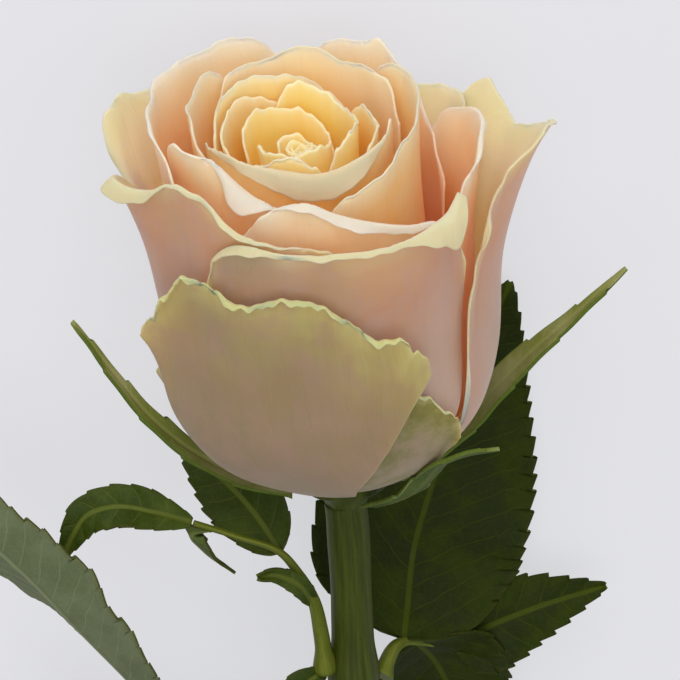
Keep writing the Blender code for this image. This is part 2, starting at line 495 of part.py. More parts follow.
def make_stem(plant, collection, cutters):
    """The stem with its prickles, grown as one piece."""
    shares = np.linspace(0, 1, 26)
    path = along(STEM_PATH, shares)
    radii = STEM_TOP_RADIUS + (STEM_CUT_RADIUS - STEM_TOP_RADIUS) * shares
    finish = material("stem_green", STEM_COLOUR)
    curve = tube_curve("stem_curve", path, radii, 3)
    guide = add_object("stem_curve", curve, plant, finish, collection)
    bpy.context.view_layer.update()
    mesh = curve_to_mesh(guide)
    bpy.data.objects.remove(guide)
    mesh.shade_smooth()
    stem = add_object("stem", mesh, plant, finish, collection)
    for number, (height, angle) in enumerate(PRICKLES, 1):
        nearest = int(np.abs(path[:, 2] - height).argmin())
        outward = Vector((math.sin(math.radians(angle)), -math.cos(math.radians(angle)), -0.35)).normalized()
        prickle = bpy.data.meshes.new(f"prickle_{number}")
        bm = bmesh.new()
        bmesh.ops.create_cone(bm, cap_ends=True, segments=7, radius1=PRICKLE_RADIUS * MM, radius2=0.15 * MM,
                              depth=PRICKLE_LENGTH * MM)
        bm.to_mesh(prickle)
        bm.free()
        cone = add_object(f"prickle_{number}", prickle, plant, finish, cutters)
        reach = radii[nearest] + PRICKLE_LENGTH / 2 - 1.0
        turn = outward.to_track_quat("Z", "Y").to_matrix().to_4x4()
        cone.matrix_basis = Matrix.Translation((Vector(path[nearest]) + outward * reach) * MM) @ turn
        cone.hide_render = True
        cone.display_type = "WIRE"
        join = stem.modifiers.new(f"prickle_{number}", "BOOLEAN")
        join.operation = "UNION"
        join.object = cone


def make_leaves(plant, collection):
    finish = material("leaf_green", LEAF_COLOUR, 0.4)
    stalk_finish = material("stem_green", STEM_COLOUR)
    for leaf in LEAVES:
        stalk = along(leaf.stalk, np.linspace(0, 1, 9))
        radii = np.linspace(STALK_RADIUS, 0.75 * STALK_RADIUS, 9)
        curve = tube_curve(leaf.name + "_stalk", stalk, radii, 1)
        add_object(leaf.name + "_stalk", curve, plant, stalk_finish, collection)
        for place, blade in leaf.leaflets:
            root = along(leaf.stalk, [place])[0]
            heading = np.subtract(blade.midrib[0], root)
            heading /= np.linalg.norm(heading)
            clear = 0.5 if place == 1.0 else STALK_RADIUS + 0.6
            name = f"{leaf.name}_{blade.name}"
            rooted = replace(blade, name=name, midrib=(tuple(root + heading * clear), *blade.midrib))
            surface = blade_surface(rooted, np.linspace(0, 1, 5), np.linspace(0, 1, 9), root_width=1.2)
            sheet_object(name, surface, LEAF_THICKNESS, plant, finish, collection)


def main():
    for old in list(bpy.data.objects):
        bpy.data.objects.remove(old)
    rose = bpy.data.collections.new("cut_rose")
    cutters = bpy.data.collections.new("cutters")
    for collection in (rose, cutters):
        bpy.context.scene.collection.children.link(collection)
    lying = Matrix.Rotation(math.radians(STEM_RISE - 90), 4, "X")
    plant = add_frame("plant_frame", None, rose, Matrix.Translation(Vector(PLANT_PLACE) * MM) @ lying)
    bloom = add_frame("bloom_frame", plant, rose, Matrix.Rotation(math.radians(-BLOOM_LEAN), 4, "Y"))
    make_petals(bloom, rose)
    make_heart(bloom, rose)
    make_receptacle(bloom, rose)
    make_sepals(plant, rose)
    make_stem(plant, rose, cutters)
    make_leaves(plant, rose)


if __name__ == "__main__":
    main()
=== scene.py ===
"""Looks of a cut rose that lies on a pale table: petals, sepals, stem, leaves, light and camera.

Lengths in the tables are millimetres in the plant's own frame: its origin is where the stem meets the
bloom, its Z axis runs up the stem and -Y is the bloom's front. Meshes are written in metres in the row frame.
Colours are display colours of three numbers up to 255.
"""

from __future__ import annotations

import json
import logging
import math
from collections.abc import Callable
from dataclasses import dataclass, replace
from enum import Enum

import bpy
import numpy as np
from mathutils import Matrix, Vector

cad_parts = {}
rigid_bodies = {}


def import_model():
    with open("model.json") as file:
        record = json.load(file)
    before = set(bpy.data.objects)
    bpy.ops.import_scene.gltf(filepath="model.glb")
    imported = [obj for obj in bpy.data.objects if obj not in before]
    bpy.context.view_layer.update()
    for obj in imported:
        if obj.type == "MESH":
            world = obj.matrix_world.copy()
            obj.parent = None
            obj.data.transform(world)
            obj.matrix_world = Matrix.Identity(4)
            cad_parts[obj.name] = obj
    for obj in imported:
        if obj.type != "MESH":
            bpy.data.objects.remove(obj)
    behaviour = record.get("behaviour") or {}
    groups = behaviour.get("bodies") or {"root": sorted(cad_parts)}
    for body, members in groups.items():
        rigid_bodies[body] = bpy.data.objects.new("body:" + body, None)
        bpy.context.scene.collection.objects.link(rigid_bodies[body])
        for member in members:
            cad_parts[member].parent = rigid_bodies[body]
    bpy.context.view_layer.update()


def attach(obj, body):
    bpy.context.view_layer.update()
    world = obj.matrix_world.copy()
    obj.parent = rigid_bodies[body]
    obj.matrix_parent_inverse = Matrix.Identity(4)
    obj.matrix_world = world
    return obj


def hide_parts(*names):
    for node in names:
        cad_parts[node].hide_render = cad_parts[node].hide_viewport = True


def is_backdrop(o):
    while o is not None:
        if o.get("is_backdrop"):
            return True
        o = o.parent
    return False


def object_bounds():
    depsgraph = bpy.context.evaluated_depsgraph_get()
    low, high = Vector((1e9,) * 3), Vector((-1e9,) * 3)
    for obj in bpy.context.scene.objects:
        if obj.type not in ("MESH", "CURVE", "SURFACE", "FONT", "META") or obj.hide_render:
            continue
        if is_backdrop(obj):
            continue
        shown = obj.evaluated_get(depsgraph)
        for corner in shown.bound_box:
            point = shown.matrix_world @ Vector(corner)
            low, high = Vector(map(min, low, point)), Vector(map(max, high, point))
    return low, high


LOG = logging.getLogger("cut_rose")
MM = 0.001
BODY = "root"
TURN = 2 * math.pi

# The seat of the petals on the hip: its radius grows with a petal's belly. It lies off the axis.
WIDEST_BELLY = 25.0
SEAT_RADIUS_AT_AXIS = 1.4
SEAT_RADIUS_SLOPE = 0.2
SEAT_SHIFT = 0.9
# How far forward a side vein has run for each millimetre away from the midrib.
VEIN_SLOPE = 0.75
# The share of a petal's rim, from its first side, that lies hidden under its neighbour and stays flat.
HIDDEN_SHARES = {"guard_petal_side": 0.3, "outer_petal_right": 0.2}

SPECK_COLOUR = (128, 96, 78)
THORN_COLOUR = (138, 112, 70)
PITH_COLOURS = ((214, 208, 164), (188, 184, 132))
PITH_RING_COLOUR = (112, 128, 58)
TABLE_COLOURS = ((122, 122, 123), (126, 126, 127))
TABLE_GLOW_COLOUR = (226, 226, 230)
TABLE_GLOW = 0.77
SKY_COLOUR = (236, 238, 244)


class PetalKind(Enum):
    """The whorls of the bloom, each with its own finish."""

    GUARD = "guard"
    STREAKED = "streaked"
    OUTER = "outer"
    MIDDLE = "middle"
    CUP = "cup"
    INNER = "inner"
    HEART = "heart"


class LeafKind(Enum):
    """The finishes of the leaflets."""

    GLOSSY = "glossy"
    YOUNG = "young"
    GREYISH = "greyish"


@dataclass(frozen=True)
class Petal:
    """One petal: the angle of its claw, its belly radius at either side edge, and its rim.

    The rim is a row of (angle, radius, height, lip) of its crest. The lip is how far the edge folds over and hangs
    below the crest. The slant is the share of the height below which the last side stays at the claw.
    """

    name: str
    claw: float
    belly: tuple
    rim: tuple
    kind: PetalKind
    slant: float = 0.0


@dataclass(frozen=True)
class Blade:
    """A sepal or leaflet: the points of its midrib, its full width, the way it faces and how far it folds."""

    name: str
    midrib: tuple
    width: float
    facing: tuple
    twist: float = 0.0
    fold: float = 0.25
    widest: float = 0.45


@dataclass(frozen=True)
class Leaf:
    """A compound leaf: the midline of its stalk, and its leaflets, each with its place along the stalk."""

    name: str
    stalk: tuple
    leaflets: tuple


@dataclass(frozen=True)
class PetalForm:
    """How a kind of petal moves near its rim, in millimetres: its frill, its teeth and their pitch, its roll outward,
    the swell of its face, and how far a lip stands out for each millimetre that it hangs."""

    frill: float
    teeth: float
    pitch: float
    roll: float
    swell: float
    curl: float


@dataclass(frozen=True)
class PetalFinish:
    """One side of a petal: its colours by depth below the rim, and the tones that break them up."""

    name: str
    stops: tuple
    mottle: tuple
    mottle_share: float
    vein: tuple
    vein_share: float
    # fold: the colour of the lip that hangs over the rim, partly its own pale rim colour and partly painted highlight
    # where the lip catches light.
    fold: tuple
    jitter: float = 2.0
    specks: float = 0.0


@dataclass(frozen=True)
class Whorl:
    """What the petals of a kind share. Its glow stands for the light that has come through the neighbouring petals,
    as a share of a petal's own colour."""

    slot: str
    glow: float
    form: PetalForm
    outside: PetalFinish
    inside: PetalFinish


@dataclass(frozen=True)
class BladeFinish:
    """One side of a leaflet or sepal: its ground, blotch, vein and edge colours and its gloss."""

    name: str
    ground: tuple
    blotch: tuple
    vein: tuple
    edge: tuple
    roughness: float
    vein_share: float = 0.8
    vein_spacing: float = 3.4


@dataclass(frozen=True)
class FibreFinish:
    """The skin of a stem, stalk or hip: its ground, the colour of its streaks and that of its pores."""

    name: str
    ground: tuple
    light: tuple
    dark: tuple


@dataclass(frozen=True)
class BladeForm:
    """The outline and relief of a leaflet or sepal, in millimetres."""

    teeth: int
    tooth_depth: float
    relief: float
    wave: float
    root_width: float
    tail: float = 0.0
    rows: int = 120
    columns: int = 25


@dataclass(frozen=True)
class Panel:
    """A soft light: the way to it from the bloom in the row frame, its distance and side in metres, its power in
    watts and its colour."""

    name: str
    way: tuple
    distance: float
    size: float
    power: float
    colour: tuple


OUTER_PETALS = (
    Petal("guard_petal_front", -22, (23.4, 24.7), ((-93, 23.2, 13, 0), (-80, 23.4, 19, 0), (-70, 24.6, 25, 0),
        (-62.5, 27.7, 30.2, 0), (-58, 27.0, 33.5, 0.4), (-51, 26.4, 37.6, 0.6), (-43, 26.2, 41.2, 0.5),
        (-34, 26.0, 40.3, 0.5), (-24, 25.7, 38.6, 0.5), (-13, 25.7, 40.0, 0.5), (-3, 25.7, 39.7, 0.5),
        (7, 25.8, 36.6, 0.5), (16, 26.0, 33.4, 0.5), (22, 26.2, 33.2, 0.3), (27, 26.3, 30.6, 0), (31.5, 26.2, 28.6, 0),
        (32.5, 26.0, 26.6, 0)), PetalKind.GUARD, slant=0.3),
    Petal("guard_petal_side", 22, (23.5, 23.3), ((-6, 23.7, 13, 0), (4, 23.8, 17.6, 0), (14, 24.0, 20.6, 0),
        (22, 24.2, 23.2, 0.3), (30, 24.4, 22.8, 0.3), (38, 24.5, 19.6, 0.3), (46, 24.3, 16, 0), (50, 23.4, 11, 0)),
        PetalKind.STREAKED),
    Petal("outer_petal_front", 6, (22.5, 21.9), ((-42, 23.6, 35, 0), (-38.5, 24.2, 41, 0.3), (-34, 24.6, 44.6, 0.6),
        (-28, 24.8, 46.4, 0.8), (-9, 24.8, 46.0, 0.5), (8, 24.8, 46.0, 0.5), (24, 25.0, 46.2, 0.6),
        (32, 25.4, 46.8, 1.2), (37, 25.8, 47.8, 2.8), (41, 26.0, 48.8, 4.4), (44, 25.8, 50.0, 3.2),
        (47, 25.4, 50.6, 0.6), (52, 24.4, 46, 0), (56, 22.8, 38, 0)), PetalKind.OUTER),
    Petal("outer_petal_left", -64, (22.1, 20.9), ((-99, 23.2, 40, 0), (-88, 25.4, 46, 0.4), (-80, 27.8, 49.4, 0.8),
        (-72, 28.8, 50.8, 1.5), (-66, 27.8, 50.6, 1.9), (-60, 26.0, 50.8, 1.2), (-53, 25.3, 52.6, 0.4),
        (-46, 25.1, 53.6, 0.4), (-40, 24.7, 52.8, 0.45), (-34, 24.1, 50.4, 0.45), (-24, 23.5, 47.8, 0.4),
        (-11, 22.8, 46.2, 0.2), (3, 22.0, 45.2, 0), (12, 21.4, 42, 0)), PetalKind.OUTER),
    Petal("outer_petal_back_left", -126, (23.0, 22.0), ((-160, 25.6, 45, 0), (-146, 27.0, 50, 0.4),
        (-130, 27.6, 52.2, 0.6), (-118, 28.2, 53.0, 0.6), (-109, 29.2, 54.4, 0.4), (-103.5, 29.8, 53.4, 0),
        (-101.5, 29.0, 48.6, 0), (-105, 27.4, 44.6, 0), (-108, 25.6, 40, 0), (-110, 24.0, 35, 0)), PetalKind.OUTER),
    Petal("outer_petal_right", 94, (22.3, 22.6), ((58, 22.0, 14, 0), (55, 22.8, 20, 0), (54, 23.2, 27, 0),
        (56, 23.5, 33, 0), (60, 23.8, 36.6, 0), (63, 24.3, 41.0, 0), (65, 25.0, 45.0, 0), (69, 26.4, 48.4, 0),
        (73, 28.4, 51.2, 0), (80, 30.6, 53.2, 0.1), (92, 31.4, 51.6, 0.3), (100, 31.0, 49.4, 0.3),
        (108, 30.0, 47.4, 0.3), (115, 29.0, 46.4, 0.2), (120, 28.4, 48.4, 0), (125, 28.6, 51.2, 0),
        (130, 27.6, 50.0, 0), (136, 26.4, 45, 0)), PetalKind.OUTER),
    Petal("outer_petal_back_right", 150, (21.6, 21.6), ((120, 23.8, 43, 0), (131, 25.0, 48.8, 0.2),
        (140, 25.8, 49.2, 0.4), (147, 25.0, 48.8, 0.4), (160, 24.8, 50.2, 0.4), (172, 24.4, 49.2, 0.3),
        (184, 23.6, 44, 0)), PetalKind.OUTER),
    Petal("outer_petal_back", -179, (24.6, 24.6), ((-216, 27.0, 42, 0), (-202, 28.0, 47.0, 0.5),
        (-185, 28.2, 48.6, 0.5), (-170, 28.0, 47.6, 0.5), (-156, 27.6, 42.5, 0)), PetalKind.OUTER),
)

MIDDLE_PETALS = (
    Petal("middle_petal_left", -110, (20.8, 20.0), ((-173, 20.6, 50, 0), (-164, 21.4, 54.8, 0),
        (-158, 21.8, 57.0, 0.3), (-150, 22.0, 57.8, 0.3), (-134, 22.0, 57.8, 0.3), (-122, 22.0, 58.0, 0.3),
        (-112, 22.2, 57.6, 0.2), (-100, 22.4, 57.0, 0.2), (-86, 22.4, 57.0, 0.2), (-70, 22.4, 56.4, 0.2),
        (-60, 22.4, 53.6, 0), (-52, 22.4, 50, 0), (-46, 22.0, 45, 0)), PetalKind.MIDDLE),
    Petal("middle_petal_right", 92, (20.4, 20.0), ((61, 20.8, 42, 0), (66, 21.6, 48, 0), (76, 22.4, 52.0, 0.4),
        (88, 22.6, 53.0, 0.6), (100, 22.4, 52.4, 0.6), (114, 21.8, 50.6, 0.5), (125, 21.0, 48.6, 0.3),
        (130, 20.6, 46, 0), (132, 20.0, 40, 0)), PetalKind.MIDDLE),
    Petal("middle_petal_back", 138, (18.4, 18.8), ((98, 17.2, 42, 0), (109, 17.6, 47.4, 0), (121, 18.2, 48.8, 0.2),
        (130, 18.0, 52.6, 0.2), (143, 18.4, 56.4, 0.2), (150, 18.8, 58.0, 0), (158, 19.0, 57.2, 0.3),
        (171, 19.2, 57.0, 0.2), (186, 18.8, 52, 0)), PetalKind.MIDDLE),
    Petal("middle_petal_front_left", -42, (18.4, 16.9), ((-77, 19.4, 49.5, 0), (-68, 20.1, 54.4, 0),
        (-62, 20.2, 56.0, 0), (-54, 19.6, 56.0, 0.1), (-44, 18.8, 55.4, 0.2), (-38, 18.5, 53.8, 1.2),
        (-34, 18.3, 52.8, 2.8), (-28, 18.1, 51.4, 2.8), (-22, 17.8, 50.2, 1.2), (-15, 17.5, 49.6, 0.2),
        (-6, 17.4, 49.0, 0.2), (6, 16.9, 46, 0)), PetalKind.MIDDLE),
    Petal("middle_petal_front", 14, (19.1, 19.6), ((-31, 19.3, 45, 0), (-19, 19.5, 49.4, 0), (-12, 19.5, 50.6, 0.3),
        (-4, 19.6, 51.0, 0.7), (8, 19.8, 49.2, 1.2), (23, 20.2, 47.2, 1.2), (38, 20.5, 45.4, 0.8),
        (50, 20.6, 44.4, 0.4), (58, 19.8, 40, 0)), PetalKind.MIDDLE),
)

CUP_PETALS = (
    Petal("cup_petal_left", -90, (15.5, 14.6), ((-147, 15.3, 51, 0), (-137, 15.5, 55.2, 0.1), (-126, 15.5, 57.6, 0.2),
        (-114, 15.3, 57.4, 0.2), (-100, 15.2, 56.4, 0.2), (-84, 15.2, 56.8, 0.2), (-70, 15.2, 56.8, 0.1),
        (-64, 15.2, 54.6, 0), (-57, 15.0, 52, 0), (-48, 14.8, 48.6, 0), (-38, 14.4, 44.5, 0)), PetalKind.CUP),
    Petal("cup_petal_right", 78, (15.0, 15.4), ((8, 14.9, 45, 0), (18, 15.2, 48.6, 0.1), (30, 15.4, 50.0, 0.2),
        (42, 15.4, 51.2, 0.2), (57, 15.4, 53.1, 0.2), (72, 15.5, 54.4, 0.2), (88, 15.6, 55.8, 0.2),
        (104, 15.7, 57.0, 0.2), (118, 15.9, 57.0, 0.3), (134, 16.0, 56.6, 0.3), (147, 15.8, 52.5, 0)), PetalKind.CUP),
    Petal("cup_petal_back", 172, (13.7, 14.0), ((106, 13.7, 51, 0), (121, 14.0, 55.4, 0), (138, 14.2, 56.8, 0.2),
        (157, 14.6, 56.4, 0.4), (166, 14.9, 57.4, 0.4), (176, 15.0, 57.8, 0.4), (186, 14.9, 57.6, 0.4),
        (198, 14.8, 56.6, 0.4), (212, 14.5, 56.8, 0.3), (225, 14.1, 56.6, 0.1), (233, 13.8, 53.5, 0)), PetalKind.CUP),
    Petal("cup_petal_front", -6, (12.7, 12.4), ((-94, 12.5, 49.6, 0), (-80, 12.8, 52.4, 0.1), (-62, 12.8, 53.2, 0.3),
        (-48, 12.9, 53.4, 0.7), (-33, 13.0, 53.0, 1.0), (-15, 13.0, 52.8, 2.4), (-3, 13.0, 52.4, 3.3),
        (8, 13.0, 51.9, 3.4), (20, 13.0, 51.9, 3.2), (35, 12.9, 52.4, 2.2), (54, 12.8, 52.9, 0.8),
        (68, 12.7, 53.6, 0.2), (78, 12.8, 55.0, 0), (87, 12.4, 51.5, 0)), PetalKind.CUP),
)

INNER_PETALS = (
    Petal("inner_petal_back_left", -152, (11.2, 11.2), ((-222, 10.9, 48.6, 0), (-210, 11.2, 51.6, 0),
        (-198, 11.3, 53.6, 0.1), (-180, 11.5, 55.1, 0.2), (-164, 11.6, 55.8, 0.2), (-143, 11.7, 55.9, 0.2),
        (-127, 11.7, 55.5, 0.2), (-104, 11.6, 53.8, 0.1), (-90, 11.3, 52.2, 0), (-79, 11.0, 49.4, 0)),
        PetalKind.INNER),
    Petal("inner_petal_right", 96, (10.2, 9.7), ((48, 10.1, 49, 0), (63, 10.5, 52.2, 0), (78, 10.7, 53.2, 0.2),
        (95, 10.6, 52.8, 0.3), (112, 10.4, 53.3, 0.2), (128, 10.1, 52.8, 0.1), (143, 9.6, 50, 0)), PetalKind.INNER),
    Petal("inner_petal_left", -108, (9.8, 9.6), ((-174, 9.7, 50, 0), (-158, 10.1, 53.0, 0), (-138, 10.3, 54.2, 0.1),
        (-119, 10.3, 54.3, 0.1), (-104, 10.3, 53.3, 0.1), (-88, 10.2, 52.0, 0), (-72, 9.9, 50.4, 0),
        (-60, 9.6, 48, 0)), PetalKind.INNER),
    Petal("heart_petal_back", 124, (7.0, 8.4), ((28, 6.8, 47, 0), (38, 7.0, 50.0, 0), (50, 7.1, 52.0, 0),
        (66, 7.4, 53.0, 0.1), (90, 7.8, 53.2, 0.2), (115, 8.2, 52.8, 0.2), (135, 8.5, 53.0, 0.1), (155, 8.8, 54.0, 0),
        (170, 9.0, 55.1, 0), (180, 9.0, 55.9, 0), (191, 8.9, 54.5, 0), (202, 8.8, 52.2, 0), (213, 8.6, 49, 0)),
        PetalKind.HEART),
    Petal("heart_petal_front", -4, (8.9, 8.5), ((-56, 8.7, 48.6, 0), (-40, 8.9, 50.8, 0), (-22, 9.0, 52.0, 0.2),
        (-6, 9.0, 52.8, 0.2), (6, 8.9, 52.0, 0.1), (17, 8.7, 50.4, 0), (26, 8.5, 48, 0)), PetalKind.HEART),
)

HEART_PETALS = (
    Petal("heart_petal_left", -160, (5.2, 7.1), ((-236, 5.2, 47.6, 0), (-220, 5.5, 49.8, 0), (-202, 6.0, 51.3, 0),
        (-182, 6.6, 52.6, 0), (-164, 7.0, 53.1, 0.1), (-148, 7.3, 53.1, 0.1), (-125, 7.5, 53.6, 0.1),
        (-110, 7.5, 52.9, 0), (-97, 7.4, 51.4, 0), (-84, 7.2, 49, 0)), PetalKind.HEART),
    Petal("curl_petal_left", -50, (5.4, 5.6), ((-120, 5.3, 47.6, 0), (-92, 5.7, 50.4, 0), (-62, 5.9, 51.5, 0),
        (-30, 5.9, 51.6, 0), (0, 5.8, 51.0, 0), (22, 5.6, 49, 0)), PetalKind.HEART),
    Petal("curl_petal_right", 62, (4.0, 3.9), ((-44, 4.0, 47.6, 0), (-14, 4.3, 50.6, 0), (24, 4.4, 51.4, 0),
        (66, 4.3, 51.0, 0), (104, 4.1, 50.0, 0), (136, 3.9, 47.6, 0)), PetalKind.HEART),
    Petal("curl_petal_back", -156, (2.8, 2.8), ((-240, 2.7, 47, 0), (-200, 2.9, 49.6, 0), (-158, 3.0, 50.8, 0),
        (-115, 2.9, 50.4, 0), (-76, 2.7, 48, 0)), PetalKind.HEART),
)

PETALS = OUTER_PETALS + MIDDLE_PETALS + CUP_PETALS + INNER_PETALS + HEART_PETALS

SEPALS = (
    Blade("sepal_left", ((-6.3, 0.2, -2.2), (-11.8, 0.0, -1.4), (-19.0, -2.2, 3.4), (-25.4, -4.6, 10.4),
        (-30.6, -6.4, 18.6), (-35.7, -8.0, 27.6)), 3.8, (0.8, -0.3, 0.5), fold=0.2, widest=0.3),
    Blade("sepal_right", ((7.9, 2.4, -2.2), (12.4, 5.2, -0.6), (17.6, 7.2, 3.5), (22.8, 7.2, 9.8), (27.4, 6.5, 15.6),
        (33.0, 6.4, 21.2), (39.6, 7.0, 28.0)), 6.2, (-0.7, -0.3, 0.65), fold=0.15, widest=0.35),
    Blade("sepal_front", ((5.3, -5.8, -2.2), (8.2, -9.4, 0.8), (10.1, -11.4, 3.0), (11.9, -12.8, 5.8),
        (13.8, -15.2, 9.6), (16.7, -15.8, 11.3), (21.7, -16.2, 12.6)), 4.6, (-0.3, 0.55, 0.8), fold=0.2, widest=0.35),
    Blade("sepal_back_right", ((1.3, 7.2, -2.2), (1.2, 12.4, -0.9), (1.1, 18.7, 3.2), (1.0, 23.8, 10.6),
        (1.0, 25.7, 18), (1.0, 26.0, 26)), 6.6, (0.0, -0.9, 0.3), fold=0.05, widest=0.3),
    Blade("sepal_back_left", ((-3.3, 6.0, -2.2), (-7.4, 10.6, -1.0), (-11.6, 16.3, 3.0), (-15.4, 20.6, 10.4),
        (-17.2, 22.5, 18), (-18.2, 23.3, 25)), 6.6, (0.4, -0.8, 0.4), fold=0.05, widest=0.3),
)

STEM_TOP = (0.95, 0.0, -4.6)
STEM_PATH = (
    (1.25, 0.0, -7.0), (1.5, 0.0, -11), (2.0, 0.0, -24), (2.3, 0.1, -42), (2.1, 0.6, -75), (1.0, 0.2, -130),
    (-0.8, -0.8, -195), (-0.4, -0.4, -265), (1.6, 0.6, -342),
)

LEAVES = (
    Leaf("right_leaf", ((6.15, 1.2, -34.2), (7.9, 4.2, -31.6), (9.6, 7.2, -32.2), (13.0, 9.6, -34.0),
        (16.2, 11.2, -35.6)), (
        (0.45, Blade("leaflet_top", ((9.8, 9.8, -29.4), (10.8, 15.0, -22.0), (13.8, 20.2, -12.6), (17.8, 23.2, 0.2),
            (24.4, 24.2, 17.0)), 31.5, (0.12, -1.0, 0.1), fold=0.08, widest=0.3)),
        (1.0, Blade("leaflet_right", ((19.0, 12.4, -34.4), (27.6, 14.0, -31.0), (38.8, 16.2, -28.2)), 13.6,
            (0.0, -1.0, 0.25), fold=0.04, widest=0.22)),
        (0.62, Blade("leaflet_low", ((13.8, 12.0, -38.0), (17.8, 15.8, -49), (22.4, 19.6, -61)), 20.0,
            (-0.1, -1.0, 0.0), fold=0.05, widest=0.25)),
    )),
    Leaf("left_leaf", ((-1.75, -1.5, -31.4), (-2.4, -2.2, -25), (-3.6, -3.0, -18.6), (-5.4, -3.6, -14.6),
        (-8.0, -4.0, -10.8), (-14.0, -4.0, -8.2), (-20.0, -4.4, -5.8)), (
        (1.0, Blade("leaflet_arching", ((-25.6, -5.0, -3.7), (-31.0, -4.8, -3.0), (-34.8, -4.8, -4.4),
            (-36.8, -5.2, -7.4), (-38.4, -5.8, -11.0)), 6.2, (0.1, -0.75, 0.65))),
        (0.62, Blade("leaflet_upright", ((-12.2, 2.4, -7.4), (-17.6, 7.4, -4.0), (-22.4, 12.2, -2.4)), 10.6,
            (-0.3, -0.7, 0.55), fold=0.1, widest=0.4)),
        (0.92, Blade("leaflet_hanging", ((-20.4, -3.4, -8.4), (-18.8, -3.4, -10.6), (-14.4, -3.0, -14.6)), 4.6,
            (0.55, 0.42, 0.72))),
        (0.0, Blade("leaflet_low", ((-4.4, -3.2, -32.6), (-5.8, -3.8, -42), (-5.4, -4.0, -55)), 8.0,
            (-0.2, -1.0, 0.1))),
        (0.33, Blade("bract", ((-6.4, -6.0, -14.2), (-8.8, -6.4, -13.0), (-11.2, -6.2, -13.4)), 3.0,
            (0.1, -0.9, 0.4))),
    )),
    Leaf("lower_left_leaf", ((-2.4, -0.7, -98), (-5.0, -3.4, -88), (-11.0, -5.6, -66), (-19.0, -6.8, -44)), (
        (1.0, Blade("leaflet_end", ((-29.0, -7.0, -30.4), (-36.4, -7.2, -21.2), (-43.0, -7.4, -12.8),
            (-49.8, -7.6, -5.4), (-60.5, -8.6, 5.5)), 20.0, (0.69, 0.12, 0.6), twist=-74)),
        (0.72, Blade("leaflet_2", ((-22, -4.6, -56), (-33, -0.6, -50), (-45, 5.0, -42)), 18.0, (-0.3, -1.0, 0.1))),
        (0.7, Blade("leaflet_3", ((-6.4, -7.4, -54), (1.6, -8.4, -49), (11.5, -8.6, -44)), 15.0, (0.1, -1.0, 0.1))),
        (0.36, Blade("leaflet_4", ((-16, 0.4, -82), (-27, 9.0, -80), (-38, 20.0, -78)), 17.0, (-0.4, -1.0, 0.1))),
        (0.34, Blade("leaflet_5", ((0.0, -7.6, -78), (8.6, -8.4, -74), (18, -7.0, -70)), 14.0, (0.1, -1.0, 0.1))),
    )),
    Leaf("lower_right_leaf", ((4.25, 0.2, -166), (9.0, 2.6, -156), (17.0, 6.2, -140), (26.0, 9.4, -124)), (
        (1.0, Blade("leaflet_end", ((33, 12.4, -112), (41, 15.8, -98), (50, 19.6, -84)), 26.0, (0.1, -1.0, 0.1))),
        (0.72, Blade("leaflet_2", ((30, 10.0, -138), (40, 13.2, -136), (50, 16.6, -132)), 17.0, (0.1, -1.0, 0.1))),
        (0.7, Blade("leaflet_3", ((16.0, 4.0, -125), (14.6, 4.6, -113), (15.8, 6.4, -100)), 14.0, (0.0, -1.0, 0.1))),
        (0.34, Blade("leaflet_4", ((19, 6.4, -158), (28, 9.6, -160), (36, 12.2, -160)), 14.0, (0.1, -1.0, 0.1))),
        (0.32, Blade("leaflet_5", ((9.8, -1.6, -146), (11.0, -4.0, -137), (12.2, -5.6, -127)), 11.0,
            (0.0, -1.0, 0.1))),
    )),
)
# Each prickle is (height down the stem, angle round it).
PRICKLES = ((-62, 60), (-121, -70), (-158, 40), (-204, -150), (-232, 80), (-262, -40), (-297, 165))

# The hip's outline, from its domed top down to the stem: (radius, height).
HIP_PROFILE = (
    (0.05, 7.2), (SEAT_RADIUS_AT_AXIS, 7.1), (SEAT_RADIUS_AT_AXIS + SEAT_RADIUS_SLOPE * WIDEST_BELLY, -0.75),
    (6.3, -1.3), (5.0, -2.0), (3.8, -3.1), (3.1, -4.2), (2.8, -5.2), (2.7, -6.6), (0.05, -6.6),
)

LEAF_FORM = BladeForm(teeth=15, tooth_depth=0.9, relief=0.3, wave=0.5, root_width=1.2)
SEPAL_FORM = BladeForm(teeth=5, tooth_depth=0.5, relief=0.06, wave=0.15, root_width=5.0, tail=0.6, rows=80, columns=17)
